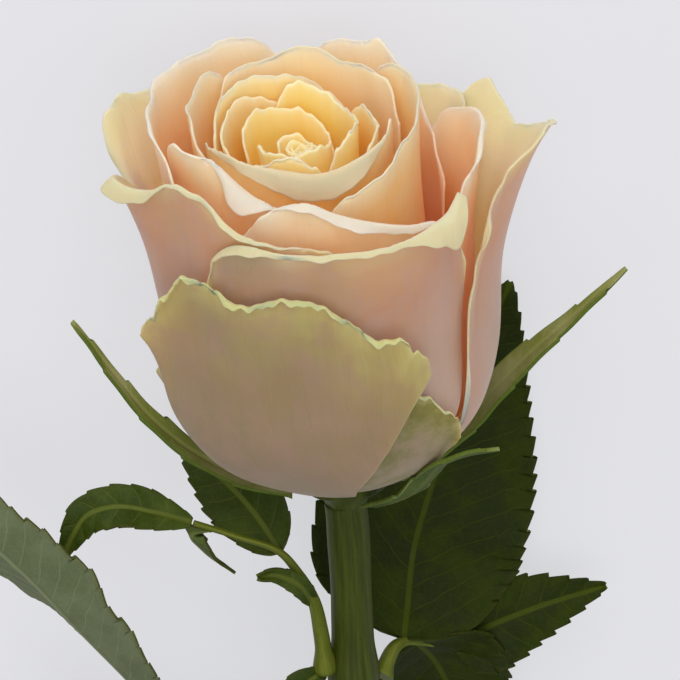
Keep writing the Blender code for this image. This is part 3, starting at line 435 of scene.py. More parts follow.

# In each petal finish, the colour after the vein share is the lip's colour: partly its pale rim colour, partly painted
# highlight.
WHORLS = {
    PetalKind.GUARD: Whorl(
        "petal_cream_green", 0.0, PetalForm(0.55, 0.38, 1.9, 0.4, 0.4, 0.3),
        PetalFinish("guard_outside", ((0, (198, 190, 126)), (1.5, (188, 174, 110)), (6, (172, 150, 100)),
            (14, (162, 134, 98)), (30, (156, 130, 104)), (44, (146, 126, 92))), (172, 136, 116), 0.55, (138, 128, 72),
            0.12, (206, 198, 136), 4.0),
        PetalFinish("guard_inside", ((0, (212, 204, 142)), (6, (220, 200, 152)), (30, (220, 184, 144))),
            (216, 190, 164), 0.3, (190, 164, 114), 0.12, (208, 200, 138), 3.0),
    ),
    PetalKind.STREAKED: Whorl(
        "petal_cream_green", 0.0, PetalForm(0.4, 0.3, 2.3, 0.3, 0.3, 0.3),
        PetalFinish("streaked_outside", ((0, (198, 190, 130)), (1.2, (176, 170, 110)), (4, (162, 150, 106)),
            (10, (160, 138, 110)), (20, (154, 132, 106))), (112, 114, 46), 0.85, (116, 116, 54), 0.2, (206, 198, 136),
            4.0),
        PetalFinish("streaked_inside", ((0, (206, 198, 136)), (6, (204, 188, 142)), (30, (206, 176, 142))),
            (192, 182, 132), 0.3, (162, 152, 102), 0.12, (206, 198, 136), 3.0),
    ),
    PetalKind.OUTER: Whorl(
        "petal_pale_pink", 0.015, PetalForm(0.45, 0.16, 2.9, 0.7, 0.3, 0.5),
        PetalFinish("outer_outside", ((0, (222, 202, 158)), (1.0, (206, 180, 138)), (4, (200, 158, 122)),
            (12, (194, 148, 120)), (28, (196, 162, 142)), (50, (206, 184, 164))), (190, 158, 146), 0.5,
            (184, 146, 128), 0.06, (222, 204, 158), 4.0, 1.0),
        PetalFinish("outer_inside", ((0, (226, 214, 172)), (3, (230, 214, 170)), (9, (240, 214, 186)),
            (20, (244, 192, 156)), (40, (236, 170, 126))), (242, 216, 194), 0.35, (234, 200, 166), 0.1,
            (226, 204, 160), 3.0),
    ),
    PetalKind.MIDDLE: Whorl(
        "petal_peach", 0.05, PetalForm(0.32, 0.1, 2.6, 0.7, 0.25, 0.4),
        PetalFinish("middle_outside", ((0, (246, 222, 194)), (2.0, (246, 210, 176)), (6, (242, 186, 142)),
            (14, (240, 166, 116)), (30, (230, 154, 106)), (46, (216, 176, 140))), (246, 198, 164), 0.35,
            (238, 176, 136), 0.08, (244, 222, 196), 3.0),
        PetalFinish("middle_inside", ((0, (246, 224, 198)), (2, (246, 216, 186)), (6, (248, 196, 154)),
            (14, (248, 168, 112)), (34, (240, 146, 84))), (248, 214, 186), 0.3, (246, 194, 156), 0.1, (244, 222, 196),
            3.0),
    ),
    PetalKind.CUP: Whorl(
        "petal_warm_cream", 0.045, PetalForm(0.26, 0.12, 2.4, 0.5, 0.18, 0.3),
        PetalFinish("cup_outside", ((0, (242, 218, 182)), (1.0, (244, 212, 168)), (4, (246, 194, 134)),
            (10, (250, 184, 112)), (24, (244, 162, 84))), (248, 210, 166), 0.3, (240, 182, 122), 0.08, (214, 192, 154),
            2.5),
        PetalFinish("cup_inside", ((0, (240, 216, 180)), (2, (242, 208, 166)), (7, (246, 196, 136)),
            (14, (252, 186, 106)), (30, (246, 162, 76))), (250, 216, 178), 0.25, (244, 196, 140), 0.1, (216, 194, 156),
            2.5),
    ),
    PetalKind.INNER: Whorl(
        "petal_golden", 0.05, PetalForm(0.24, 0.18, 2.2, 0.4, 0.12, 0.3),
        PetalFinish("inner_outside", ((0, (248, 226, 182)), (1.0, (248, 214, 152)), (4, (250, 198, 114)),
            (10, (252, 190, 88)), (24, (246, 168, 66))), (252, 216, 152), 0.25, (244, 192, 110), 0.1, (254, 238, 196),
            2.0),
        PetalFinish("inner_inside", ((0, (248, 226, 182)), (1.6, (250, 212, 146)), (5, (252, 194, 102)),
            (10, (252, 184, 76)), (26, (246, 164, 56))), (252, 214, 142), 0.25, (246, 194, 108), 0.1, (254, 238, 196),
            2.0),
    ),
    PetalKind.HEART: Whorl(
        "petal_golden", 0.05, PetalForm(0.24, 0.26, 2.0, 0.3, 0.1, 0.3),
        PetalFinish("heart_outside", ((0, (250, 232, 184)), (1.0, (250, 220, 156)), (4, (252, 204, 118)),
            (9, (252, 194, 86)), (22, (246, 170, 62))), (254, 222, 150), 0.25, (246, 200, 110), 0.1, (255, 244, 198),
            1.5),
        PetalFinish("heart_inside", ((0, (250, 232, 182)), (1.0, (250, 218, 146)), (4, (252, 200, 100)),
            (9, (252, 190, 72)), (22, (246, 166, 52))), (254, 220, 140), 0.25, (246, 198, 98), 0.1, (255, 244, 196),
            1.5),
    ),
}

LEAF_FINISHES = {
    LeafKind.GLOSSY: (
        BladeFinish("leaf_top", (32, 42, 0), (44, 55, 2), (66, 78, 6), (46, 52, 4), 0.6),
        BladeFinish("leaf_under", (84, 102, 62), (98, 114, 72), (122, 134, 84), (92, 100, 58), 0.6),
    ),
    LeafKind.YOUNG: (
        BladeFinish("young_leaf_top", (48, 62, 10), (66, 80, 24), (92, 102, 36), (62, 66, 18), 0.5),
        BladeFinish("young_leaf_under", (84, 98, 48), (96, 108, 58), (116, 126, 68), (92, 98, 44), 0.6),
    ),
    LeafKind.GREYISH: (
        BladeFinish("grey_leaf_top", (78, 84, 46), (96, 102, 72), (122, 126, 90), (80, 82, 42), 0.55),
        BladeFinish("grey_leaf_under", (100, 110, 76), (112, 122, 88), (140, 148, 108), (104, 110, 70), 0.6),
    ),
}
SEPAL_FINISH = (
    BladeFinish("sepal_inside", (122, 130, 60), (150, 152, 98), (158, 160, 98), (90, 106, 36), 0.6, 0.4, 5.0),
    BladeFinish("sepal_outside", (64, 82, 24), (88, 102, 46), (108, 118, 60), (140, 150, 96), 0.55, 0.4, 5.0),
)
LEAF_KINDS = {
    "right_leaf": LeafKind.GLOSSY,
    "left_leaf": LeafKind.YOUNG,
    "lower_left_leaf": LeafKind.GREYISH,
    "lower_right_leaf": LeafKind.GLOSSY,
}
STEM_FINISH = FibreFinish("stem_skin", (52, 60, 6), (72, 82, 16), (46, 46, 12))
STALK_FINISH = FibreFinish("stalk_skin", (84, 93, 18), (112, 119, 36), (60, 60, 20))
HIP_FINISH = FibreFinish("hip_skin", (56, 66, 10), (74, 84, 22), (50, 54, 16))

# A large panel beyond the bloom's open top and a weaker one above.
PANELS = (
    Panel("key_panel", (-0.12, 0.8, 0.5), 2.2, 1.6, 23.5, (255, 252, 246)),
    Panel("fill_panel", (0.1, 0.15, 1.0), 2.0, 1.8, 18.0, (248, 250, 255)),
)


def linear(colour: tuple) -> tuple:
    """Turns a display colour into the linear colour that a shader takes.

    Args:
        colour: red, green and blue as a screen shows them.

    Returns:
        Red, green, blue and a full alpha, in linear light.
    """
    shares = [part / 255 for part in colour]
    return (*(s / 12.92 if s <= 0.04045 else ((s + 0.055) / 1.055) ** 2.4 for s in shares), 1.0)


def smooth(share: np.ndarray) -> np.ndarray:
    """A soft step from 0 to 1, flat at both ends.

    Args:
        share: numbers that are held between 0 and 1.

    Returns:
        The eased numbers.
    """
    held = np.clip(share, 0, 1)
    return held * held * (3 - 2 * held)


def lengths_of(rows: np.ndarray) -> np.ndarray:
    """The length of each row of numbers, kept as a last axis of one.

    Args:
        rows: the rows.

    Returns:
        Their lengths.
    """
    return np.linalg.norm(rows, axis=-1, keepdims=True)


def along(points: tuple, shares: np.ndarray) -> np.ndarray:
    """A smooth curve through the points, read at shares of its length.

    Args:
        points: the knots, each a row of numbers.
        shares: places on the curve from 0 to 1.

    Returns:
        One row of numbers for each share.
    """
    knots = np.asarray(points, float)
    at = np.concatenate([[0.0], np.cumsum(lengths_of(np.diff(knots, axis=0)))])
    slopes = np.gradient(knots, at, axis=0)
    wanted = np.asarray(shares, float) * at[-1]
    index = np.clip(np.searchsorted(at, wanted, side="right") - 1, 0, len(at) - 2)
    width = (at[index + 1] - at[index])[:, None]
    t = (wanted - at[index])[:, None] / width
    first, last = slopes[index] * width, slopes[index + 1] * width
    return (
        knots[index] * (2 * t**3 - 3 * t**2 + 1)
        + first * (t**3 - 2 * t**2 + t)
        + knots[index + 1] * (3 * t**2 - 2 * t**3)
        + last * (t**3 - t**2)
    )


def waves(at: np.ndarray, seed: int, lengths: tuple) -> np.ndarray:
    """An uneven wave: a sum of sines with seeded phases, about 1 high.

    Args:
        at: where the wave is read, in millimetres.
        seed: picks the phases.
        lengths: the wavelengths, in millimetres.

    Returns:
        The wave's height at each place.
    """
    phases = np.random.default_rng(seed).uniform(0, TURN, len(lengths))
    parts = [np.sin(TURN * at / length + phase) for length, phase in zip(lengths, phases)]
    return np.sum(parts, axis=0) / math.sqrt(len(lengths))


def run_of(points: np.ndarray, axis: int) -> np.ndarray:
    """Distance along each row or column of a grid of points.

    Args:
        points: the grid, rows by columns by three.
        axis: 0 to run up the columns and 1 to run along the rows.

    Returns:
        The running distance at each point of the grid.
    """
    steps = np.linalg.norm(np.diff(points, axis=axis), axis=-1)
    start = np.zeros_like(np.take(steps, [0], axis=axis))
    return np.concatenate([start, np.cumsum(steps, axis=axis)], axis=axis)


def round_axis(radius: np.ndarray, angle: np.ndarray, centre: np.ndarray, height: np.ndarray) -> np.ndarray:
    """Points round an upright axis, with the front at angle 0.

    Args:
        radius: how far from the axis.
        angle: how far round it, in radians.
        centre: how far the axis is shifted along X.
        height: how far up it.

    Returns:
        The grid of points.
    """
    return np.stack([centre + radius * np.sin(angle), -radius * np.cos(angle), height], axis=-1)


class Value:
    """A number in a node tree, on which arithmetic adds Math nodes."""

    def __init__(self, graph: Graph, socket: bpy.types.NodeSocket) -> None:
        """Keeps the number's socket and the graph that it is in."""
        self.graph = graph
        self.socket = socket

    def step(self, operation: str, *others: object) -> Value:
        """One step of arithmetic.

        Args:
            operation: the Math node's operation.
            others: the numbers or sockets that follow this one.

        Returns:
            The result.
        """
        return self.graph.math(operation, self, *others)

    def __add__(self, other: object) -> Value:
        """The sum."""
        return self.step("ADD", other)

    def __sub__(self, other: object) -> Value:
        """The difference."""
        return self.step("SUBTRACT", other)

    def __mul__(self, other: object) -> Value:
        """The product."""
        return self.step("MULTIPLY", other)

    def __truediv__(self, other: object) -> Value:
        """The quotient."""
        return self.step("DIVIDE", other)

    def rest(self) -> Value:
        """What it lacks to 1."""
        return self.graph.math("SUBTRACT", 1.0, self)

    def between(self, low: float, high: float) -> Value:
        """A soft step from 0 at low to 1 at high.

        Args:
            low: where the result is 0.
            high: where the result is 1.

        Returns:
            The result.
        """
        inputs = {"Value": self, "From Min": low, "From Max": high}
        node = self.graph.add("ShaderNodeMapRange", inputs, interpolation_type="SMOOTHSTEP")
        return Value(self.graph, node.outputs["Result"])


class Graph:
    """A node tree that is being filled."""

    def __init__(self, tree: bpy.types.NodeTree) -> None:
        """Keeps the tree that the nodes go into."""
        self.tree = tree

    def add(self, kind: str, inputs: dict | None = None, **settings: object) -> bpy.types.Node:
        """Adds a node, sets it and joins its inputs.

        Args:
            kind: Blender's name of the node type.
            inputs: by socket name or number, a constant or what feeds it.
            settings: properties of the node.

        Returns:
            The new node.
        """
        node = self.tree.nodes.new(kind)
        for name, value in settings.items():
            setattr(node, name, value)
        self.fill(node, inputs or {})
        return node

    def fill(self, node: bpy.types.Node, inputs: dict) -> None:
        """Links a node's inputs or sets their values.

        Args:
            node: the node.
            inputs: by socket name or number, a constant or what feeds it.
        """
        for name, value in inputs.items():
            source = value.socket if isinstance(value, Value) else value
            if isinstance(source, bpy.types.NodeSocket):
                self.tree.links.new(source, node.inputs[name])
            else:
                node.inputs[name].default_value = source

    def math(self, operation: str, *numbers: object) -> Value:
        """One Math node.

        Args:
            operation: its operation.
            numbers: what it takes.

        Returns:
            The result.
        """
        node = self.add("ShaderNodeMath", dict(enumerate(numbers)), operation=operation)
        return Value(self, node.outputs[0])

    def at(self, *parts: object) -> bpy.types.NodeSocket:
        """The vector of three numbers."""
        return self.add("ShaderNodeCombineXYZ", dict(enumerate(parts))).outputs[0]

    def mix(self, share: object, first: object, second: object) -> bpy.types.NodeSocket:
        """Mixes two colours.

        Args:
            share: how much of the second one there is.
            first: a linear colour or socket.
            second: a linear colour or socket.

        Returns:
            The mixed colour's socket.
        """
        return self.add("ShaderNodeMix", {0: share, 6: first, 7: second}, data_type="RGBA").outputs[2]

    def tinted(self, colour: object, *tints: tuple) -> bpy.types.NodeSocket:
        """Mixes display colours into a colour, one after the other.

        Args:
            colour: the linear colour or socket under them.
            tints: pairs of share and display colour.

        Returns:
            The colour's socket.
        """
        for share, tint in tints:
            colour = self.mix(share, colour, linear(tint))
        return colour

    def noise(self, at: object, scale: float, detail: float = 3.0, roughness: float = 0.5) -> Value:
        """A noise texture's value.

        Args:
            at: the vector that it is read at, in millimetres.
            scale: waves per millimetre.
            detail: how many finer layers it has.
            roughness: how strong these are.

        Returns:
            The value.
        """
        inputs = {"Vector": at, "Scale": scale, "Detail": detail, "Roughness": roughness}
        return Value(self, self.add("ShaderNodeTexNoise", inputs).outputs["Fac"])

    def cells(self, at: object, scale: float, feature: str = "F1") -> Value:
        """A cell texture's distance.

        Args:
            at: the vector that it is read at, in millimetres.
            scale: cells per millimetre.
            feature: what the distance is measured to.

        Returns:
            The value.
        """
        inputs = {"Vector": at, "Scale": scale}
        return Value(self, self.add("ShaderNodeTexVoronoi", inputs, feature=feature).outputs["Distance"])

    def stored(self, name: str) -> Value:
        """The value that the mesh stores at each point under this name."""
        return Value(self, self.add("ShaderNodeAttribute", attribute_name=name).outputs["Fac"])

    def group(self, tree: bpy.types.NodeTree, **inputs: float) -> dict:
        """Uses a shared group.

        Args:
            tree: the group.
            inputs: its settings by name.

        Returns:
            Its values by name.
        """
        node = self.add("ShaderNodeGroup", node_tree=tree)
        self.fill(node, inputs)
        return {output.name: Value(self, output) for output in node.outputs}

    def ramp(self, value: Value, stops: tuple) -> bpy.types.NodeSocket:
        """Colours by a value.

        Args:
            value: the value that is read.
            stops: pairs of value and display colour, in rising order.

        Returns:
            The colour's socket.
        """
        reach = stops[-1][0]
        node = self.add("ShaderNodeValToRGB", {"Fac": value / reach})
        elements = node.color_ramp.elements
        elements.remove(elements[1])
        elements[0].position = stops[0][0] / reach
        elements[0].color = linear(stops[0][1])
        for place, colour in stops[1:]:
            elements.new(place / reach).color = linear(colour)
        return node.outputs["Color"]


class Textures:
    """The effects that several finishes share, each as one node group."""

    def __init__(self) -> None:
        """Builds the groups once."""
        self.petal_grain = self._group("petal_grain", self._petal_grain, "Jitter")
        self.leaf_veins = self._group("leaf_veins", self._leaf_veins, "Spacing")
        self.fibres = self._group("fibres", self._fibres)

    @staticmethod
    def _group(name: str, effect: Callable, *settings: str) -> bpy.types.NodeTree:
        """Makes a group.

        Args:
            name: the group's name.
            effect: fills its graph and returns its values by name.
            settings: names of the numbers that it takes, in the effect's own order.

        Returns:
            The group.
        """
        tree = bpy.data.node_groups.new(name, "ShaderNodeTree")
        graph = Graph(tree)
        for setting in settings:
            tree.interface.new_socket(setting, in_out="INPUT", socket_type="NodeSocketFloat")
        given = graph.add("NodeGroupInput")
        values = effect(graph, *(given.outputs[setting] for setting in settings))
        for value in values:
            tree.interface.new_socket(value, in_out="OUTPUT", socket_type="NodeSocketFloat")
        graph.add("NodeGroupOutput", values)
        return tree

    @staticmethod
    def _petal_grain(graph: Graph, jitter: bpy.types.NodeSocket) -> dict:
        """Depth below the rim with a wandering line, streaks towards the claw, soft mottling and rare specks."""
        span, rise, depth, seed = (graph.stored(name) for name in ("span", "rise", "rim_depth", "seed"))
        at = graph.at(span, rise, seed)
        wander = graph.noise(at, 0.11) - 0.5
        shift = wander * jitter * depth.between(0.0, 8.0)
        streak_at = graph.at(span + wander * 2.0, rise * 0.035, seed)
        vein = graph.noise(streak_at, 0.9, 4.0, 0.6).between(0.47, 0.66)
        mottle = graph.noise(at, 0.16, 5.0, 0.6).between(0.4, 0.68)
        return {
            "Depth": depth + shift * 4.0,
            "Vein": vein,
            "Mottle": mottle,
            "Speck": graph.cells(at, 0.13).between(0.015, 0.04).rest(),
            "Height": vein * -0.5 + graph.noise(at, 3.2, 2.0) * 0.25 + mottle * 0.25,
        }

    @staticmethod
    def _leaf_veins(graph: Graph, spacing: bpy.types.NodeSocket) -> dict:
        """Midrib, side veins that run forward to the edge, a fine net between them and blotches."""
        side, run, edge = (graph.stored(name) for name in ("side", "run", "edge"))
        at = graph.at(side, run, graph.stored("seed"))
        off = side.step("ABSOLUTE")
        place = run - off * VEIN_SLOPE + (graph.noise(at, 0.22, 2.0) - 0.5) * 2.0
        apart = ((place / spacing).step("FRACT") - 0.5).step("ABSOLUTE")
        side_vein = apart.between(0.44, 0.5) * edge.between(0.7, 0.98).rest() * 0.55
        midrib = off.between(0.25, 0.6).rest()
        net = graph.cells(at, 0.95, "DISTANCE_TO_EDGE").between(0.02, 0.1).rest()
        vein = side_vein.step("MAXIMUM", midrib).step("MAXIMUM", net * 0.14)
        return {
            "Vein": vein,
            "Blotch": graph.noise(at, 0.14, 4.0, 0.55).between(0.4, 0.65),
            "Edge": edge.between(0.9, 1.0),
            "Height": vein * -1.0 + graph.noise(at, 2.5, 2.0) * 0.35,
        }

    @staticmethod
    def _fibres(graph: Graph) -> dict:
        """Long streaks and pores on the stem, the stalks and the hip."""
        around, run = graph.stored("around"), graph.stored("run")
        streak = graph.noise(graph.at(around, run * 0.05, 0.0), 1.1, 3.0, 0.6).between(0.35, 0.7)
        pores = graph.noise(graph.at(around, run * 0.5, 3.0), 1.6, 4.0, 0.7).between(0.55, 0.75)
        return {"Streak": streak, "Pores": pores, "Height": streak * 0.6 + pores * -0.3}


class Finishes:
    """Makes each material once and hands it out by name."""

    def __init__(self, textures: Textures) -> None:
        """Keeps the shared textures."""
        self.textures = textures

    @staticmethod
    def _start(name: str) -> tuple:
        """An empty material with its Principled shader.

        Args:
            name: the material's name.

        Returns:
            The material, its graph and its shader node.
        """
        material = bpy.data.materials.new(name)
        material.use_nodes = True
        return material, Graph(material.node_tree), material.node_tree.nodes["Principled BSDF"]

    @staticmethod
    def _relief(graph: Graph, height: Value, strength: float, distance: float) -> bpy.types.NodeSocket:
        """Turns a height into relief.

        Args:
            graph: the material's graph.
            height: the height.
            strength: how much of it shows.
            distance: what a height of 1 stands for, in millimetres.

        Returns:
            The normal's socket.
        """
        inputs = {"Strength": strength, "Distance": distance * MM, "Height": height}
        return graph.add("ShaderNodeBump", inputs).outputs["Normal"]

    @staticmethod
    def _let_in(weight: float, radius: tuple, scale: float) -> dict:
        """Shader inputs for the light that enters a blade.

        Args:
            weight: how much of it enters.
            radius: how far each colour goes, as shares of the scale.
            scale: in millimetres.

        Returns:
            The inputs by name.
        """
        return {"Subsurface Weight": weight, "Subsurface Radius": radius, "Subsurface Scale": scale * MM}

    def of(self, finish: PetalFinish | BladeFinish | FibreFinish, glow: float = 0.0) -> bpy.types.Material:
        """The material of a finish.

        Args:
            finish: its colours.
            glow: how much of its own colour a petal gives off, as painted light standing in for light that comes
                through the neighbouring petals.

        Returns:
            The material, made on first use.
        """
        found = bpy.data.materials.get(finish.name)
        if found:
            return found
        material, graph, shader = self._start(finish.name)
        if isinstance(finish, PetalFinish):
            inputs = self._petal(graph, finish, glow)
        elif isinstance(finish, BladeFinish):
            inputs = self._blade(graph, finish)
        else:
            inputs = self._fibre(graph, finish)
        graph.fill(shader, inputs)
        return material

    def _petal(self, graph: Graph, finish: PetalFinish, glow: float) -> dict:
        """Shader inputs of one side of a petal.

        Args:
            graph: the material's graph.
            finish: its colours.
            glow: how much of its own colour it gives off, as painted light standing in for light through the
                neighbouring petals.

        Returns:
            The inputs by name.
        """
        grain = graph.group(self.textures.petal_grain, Jitter=finish.jitter)
        colour = graph.tinted(
            graph.ramp(grain["Depth"], finish.stops),
            (grain["Mottle"] * finish.mottle_share, finish.mottle),
            (grain["Vein"] * finish.vein_share, finish.vein),
            (grain["Speck"] * (0.6 * finish.specks), SPECK_COLOUR),
            # The lip that hangs over takes a paler colour: partly its own rim colour, partly painted highlight where
            # it catches light.
            (graph.stored("lip_tone_and_highlight"), finish.fold),
        )
        return {
            "Base Color": colour,
            # The emission is painted light: the petal glows with its own colour in place of light coming through its
            # neighbours.
            "Emission Color": colour,
            "Emission Strength": glow,
            "Roughness": grain["Mottle"] * 0.1 + 0.5,
            "Specular IOR Level": 0.25,
            "Sheen Weight": 0.08,
            "Normal": self._relief(graph, grain["Height"], 0.25, 0.2),
            **self._let_in(0.7, (1.0, 0.6, 0.35), 2.5),
        }

    def _blade(self, graph: Graph, finish: BladeFinish) -> dict:
        """Shader inputs of one side of a leaflet or sepal.

        Args:
            graph: the material's graph.
            finish: its colours and gloss.

        Returns:
            The inputs by name.
        """
        veins = graph.group(self.textures.leaf_veins, Spacing=finish.vein_spacing)
        colour = graph.tinted(
            linear(finish.ground),
            (veins["Blotch"], finish.blotch),
            (veins["Edge"], finish.edge),
            (veins["Vein"] * finish.vein_share, finish.vein),
        )
        return {
            "Base Color": colour,
            "Roughness": veins["Blotch"] * 0.12 + finish.roughness,
            "Specular IOR Level": 0.12,
            "Normal": self._relief(graph, veins["Height"], 0.5, 0.15),
            **self._let_in(0.12, (0.4, 1.0, 0.2), 0.8),
        }

    def _fibre(self, graph: Graph, finish: FibreFinish) -> dict:
        """Shader inputs of a stem, stalk or hip.

        Args:
            graph: the material's graph.
            finish: its colours.

        Returns:
            The inputs by name.
        """
        fibres = graph.group(self.textures.fibres)
        colour = graph.tinted(
            linear(finish.ground),
            (fibres["Streak"], finish.light),
            (fibres["Pores"] * 0.5, finish.dark),
            (graph.stored("thorn"), THORN_COLOUR),
        )
        return {
            "Base Color": colour,
            "Roughness": fibres["Streak"] * 0.1 + 0.5,
            "Specular IOR Level": 0.2,
            "Normal": self._relief(graph, fibres["Height"], 0.4, 0.2),
            **self._let_in(0.08, (1.0, 0.2, 0.1), 0.8),
        }

    def pith(self) -> bpy.types.Material:
        """The cut face of the stem: pale pith in a green ring."""
        material, graph, shader = self._start("stem_pith")
        spots = graph.noise(graph.add("ShaderNodeTexCoord").outputs["Object"], 2600.0)
        pale = graph.mix(spots, *map(linear, PITH_COLOURS))
        ring = graph.stored("around").between(0.62, 0.8)
        graph.fill(shader, {
            "Base Color": graph.tinted(pale, (ring, PITH_RING_COLOUR)),
            "Roughness": 0.7,
            "Normal": self._relief(graph, spots, 0.4, 0.1),
        })
        return material

    def table(self) -> bpy.types.Material:
        """The pale table: a faintly uneven matt ground that glows a little, so that shadows stay soft."""
        material, graph, shader = self._start("pale_table")
        cloud = graph.noise(graph.add("ShaderNodeTexCoord").outputs["Object"], 3.0)
        graph.fill(shader, {
            "Base Color": graph.mix(cloud, *map(linear, TABLE_COLOURS)),
            "Roughness": 0.9,
            "Specular IOR Level": 0.1,
            "Emission Color": linear(TABLE_GLOW_COLOUR),
            "Emission Strength": TABLE_GLOW,
        })
        return material


@dataclass(frozen=True)
class Workbench:
    """Turns grids of points into pieces of the rose, which lies with its stem tilted and its bloom leaning."""

    finishes: Finishes
    stem_top: tuple = (4.8, 141.3, 25.36)
    stem_rise: float = 3.55
    bloom_lean: float = 3.0

    @property
    def plant(self) -> Matrix:
        """The plant's frame in the row frame."""
        lying = Matrix.Rotation(math.radians(self.stem_rise - 90), 4, "X")
        return Matrix.Translation(Vector(self.stem_top) * MM) @ lying

    @property
    def bloom(self) -> Matrix:
        """The bloom's frame in the row frame."""
        return self.plant @ Matrix.Rotation(math.radians(-self.bloom_lean), 4, "Y")

    @staticmethod
    def grid(name: str, points: np.ndarray, frame: Matrix, values: dict, closed: bool = False) -> bpy.types.Object:
        """A mesh over a grid of points, which stores values at each point.

        Args:
            name: the piece's name.
            points: rows by columns by three, in millimetres.
            frame: the frame that they are in.
            values: grids of numbers by name.
            closed: whether the last column joins the first and one face closes each open end.

        Returns:
            The new object.
        """
        rows, columns = points.shape[:2]
        index = np.arange(rows * columns).reshape(rows, columns)
        right = np.roll(index, -1, axis=1) if closed else index[:, 1:]
        left = index if closed else index[:, :-1]
        faces = np.stack([left[:-1], right[:-1], right[1:], left[1:]], axis=-1).reshape(-1, 4).tolist()
        ends = [index[0, ::-1].tolist(), index[-1].tolist()] if closed else []
        turn = np.array(frame)
        mesh = bpy.data.meshes.new(name)
        mesh.from_pydata((points.reshape(-1, 3) * MM @ turn[:3, :3].T + turn[:3, 3]).tolist(), [], faces + ends)
        mesh.shade_smooth()
        for end in range(len(ends)):
            mesh.polygons[len(faces) + end].use_smooth = False
        for key, numbers in values.items():
            stored = mesh.attributes.new(key, "FLOAT", "POINT")
            flat = np.broadcast_to(np.asarray(numbers, np.float32), (rows, columns)).ravel()
            stored.data.foreach_set("value", np.ascontiguousarray(flat))
        made = bpy.data.objects.new(name, mesh)
        bpy.context.scene.collection.objects.link(made)
        return made

    def tube(self, name: str, path: np.ndarray, radii: np.ndarray, sides: int, bulge: np.ndarray | float = 0.0,
             thorn: np.ndarray | float = 0.0) -> bpy.types.Object:
        """A closed tube along a path of the plant frame.

        Args:
            name: the piece's name.
            path: the midline's points.
            radii: the radius at each of them.
            sides: how many sides it has.
            bulge: what is added to the radius at each point of the grid.
            thorn: how much of each point is thorn, from 0 to 1.

        Returns:
            The piece, with its ends closed.
        """
        ahead = np.gradient(path, axis=0)
        ahead /= lengths_of(ahead)
        first = np.cross(ahead[0], (0.3, 0.9, 0.1))
        across = [first / np.linalg.norm(first)]
        for direction in ahead[1:]:
            carried = across[-1] - direction * (across[-1] @ direction)
            across.append(carried / np.linalg.norm(carried))
        across = np.array(across)
        turn = np.linspace(0, TURN, sides, endpoint=False)[None, :, None]
        ring = across[:, None] * np.cos(turn) + np.cross(ahead, across)[:, None] * np.sin(turn)
        radius = np.broadcast_to(radii[:, None] + bulge, (len(path), sides))
        values = {"around": turn[..., 0] * radii.mean(), "run": run_of(path[:, None], 0), "thorn": thorn}
        return self.grid(name, path[:, None] + ring * radius[..., None], self.plant, values, closed=True)

    @staticmethod
    def thicken(piece: bpy.types.Object, thickness: float, *sides: bpy.types.Material) -> None:
        """Gives a sheet its thickness and the materials of its two sides.

        Args:
            piece: the sheet.
            thickness: in millimetres.
            sides: the material of the side that its faces look to, and that of the other side.
        """
        for side in sides:
            piece.data.materials.append(side)
        solid = piece.modifiers.new("thickness", "SOLIDIFY")
        solid.thickness = thickness * MM
        solid.offset = 0.0
        solid.material_offset = 1

    @staticmethod
    def seat(piece: bpy.types.Object, slot: str, node: str) -> None:
        """Joins a finished piece to the frame.

        Args:
            piece: the piece.
            slot: the record's material slot; it is not used.
            node: the plain solid that it stands for.
        """
        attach(piece, BODY)
        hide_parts(node)
        LOG.info("%s: %d points", piece.name, len(piece.data.vertices))


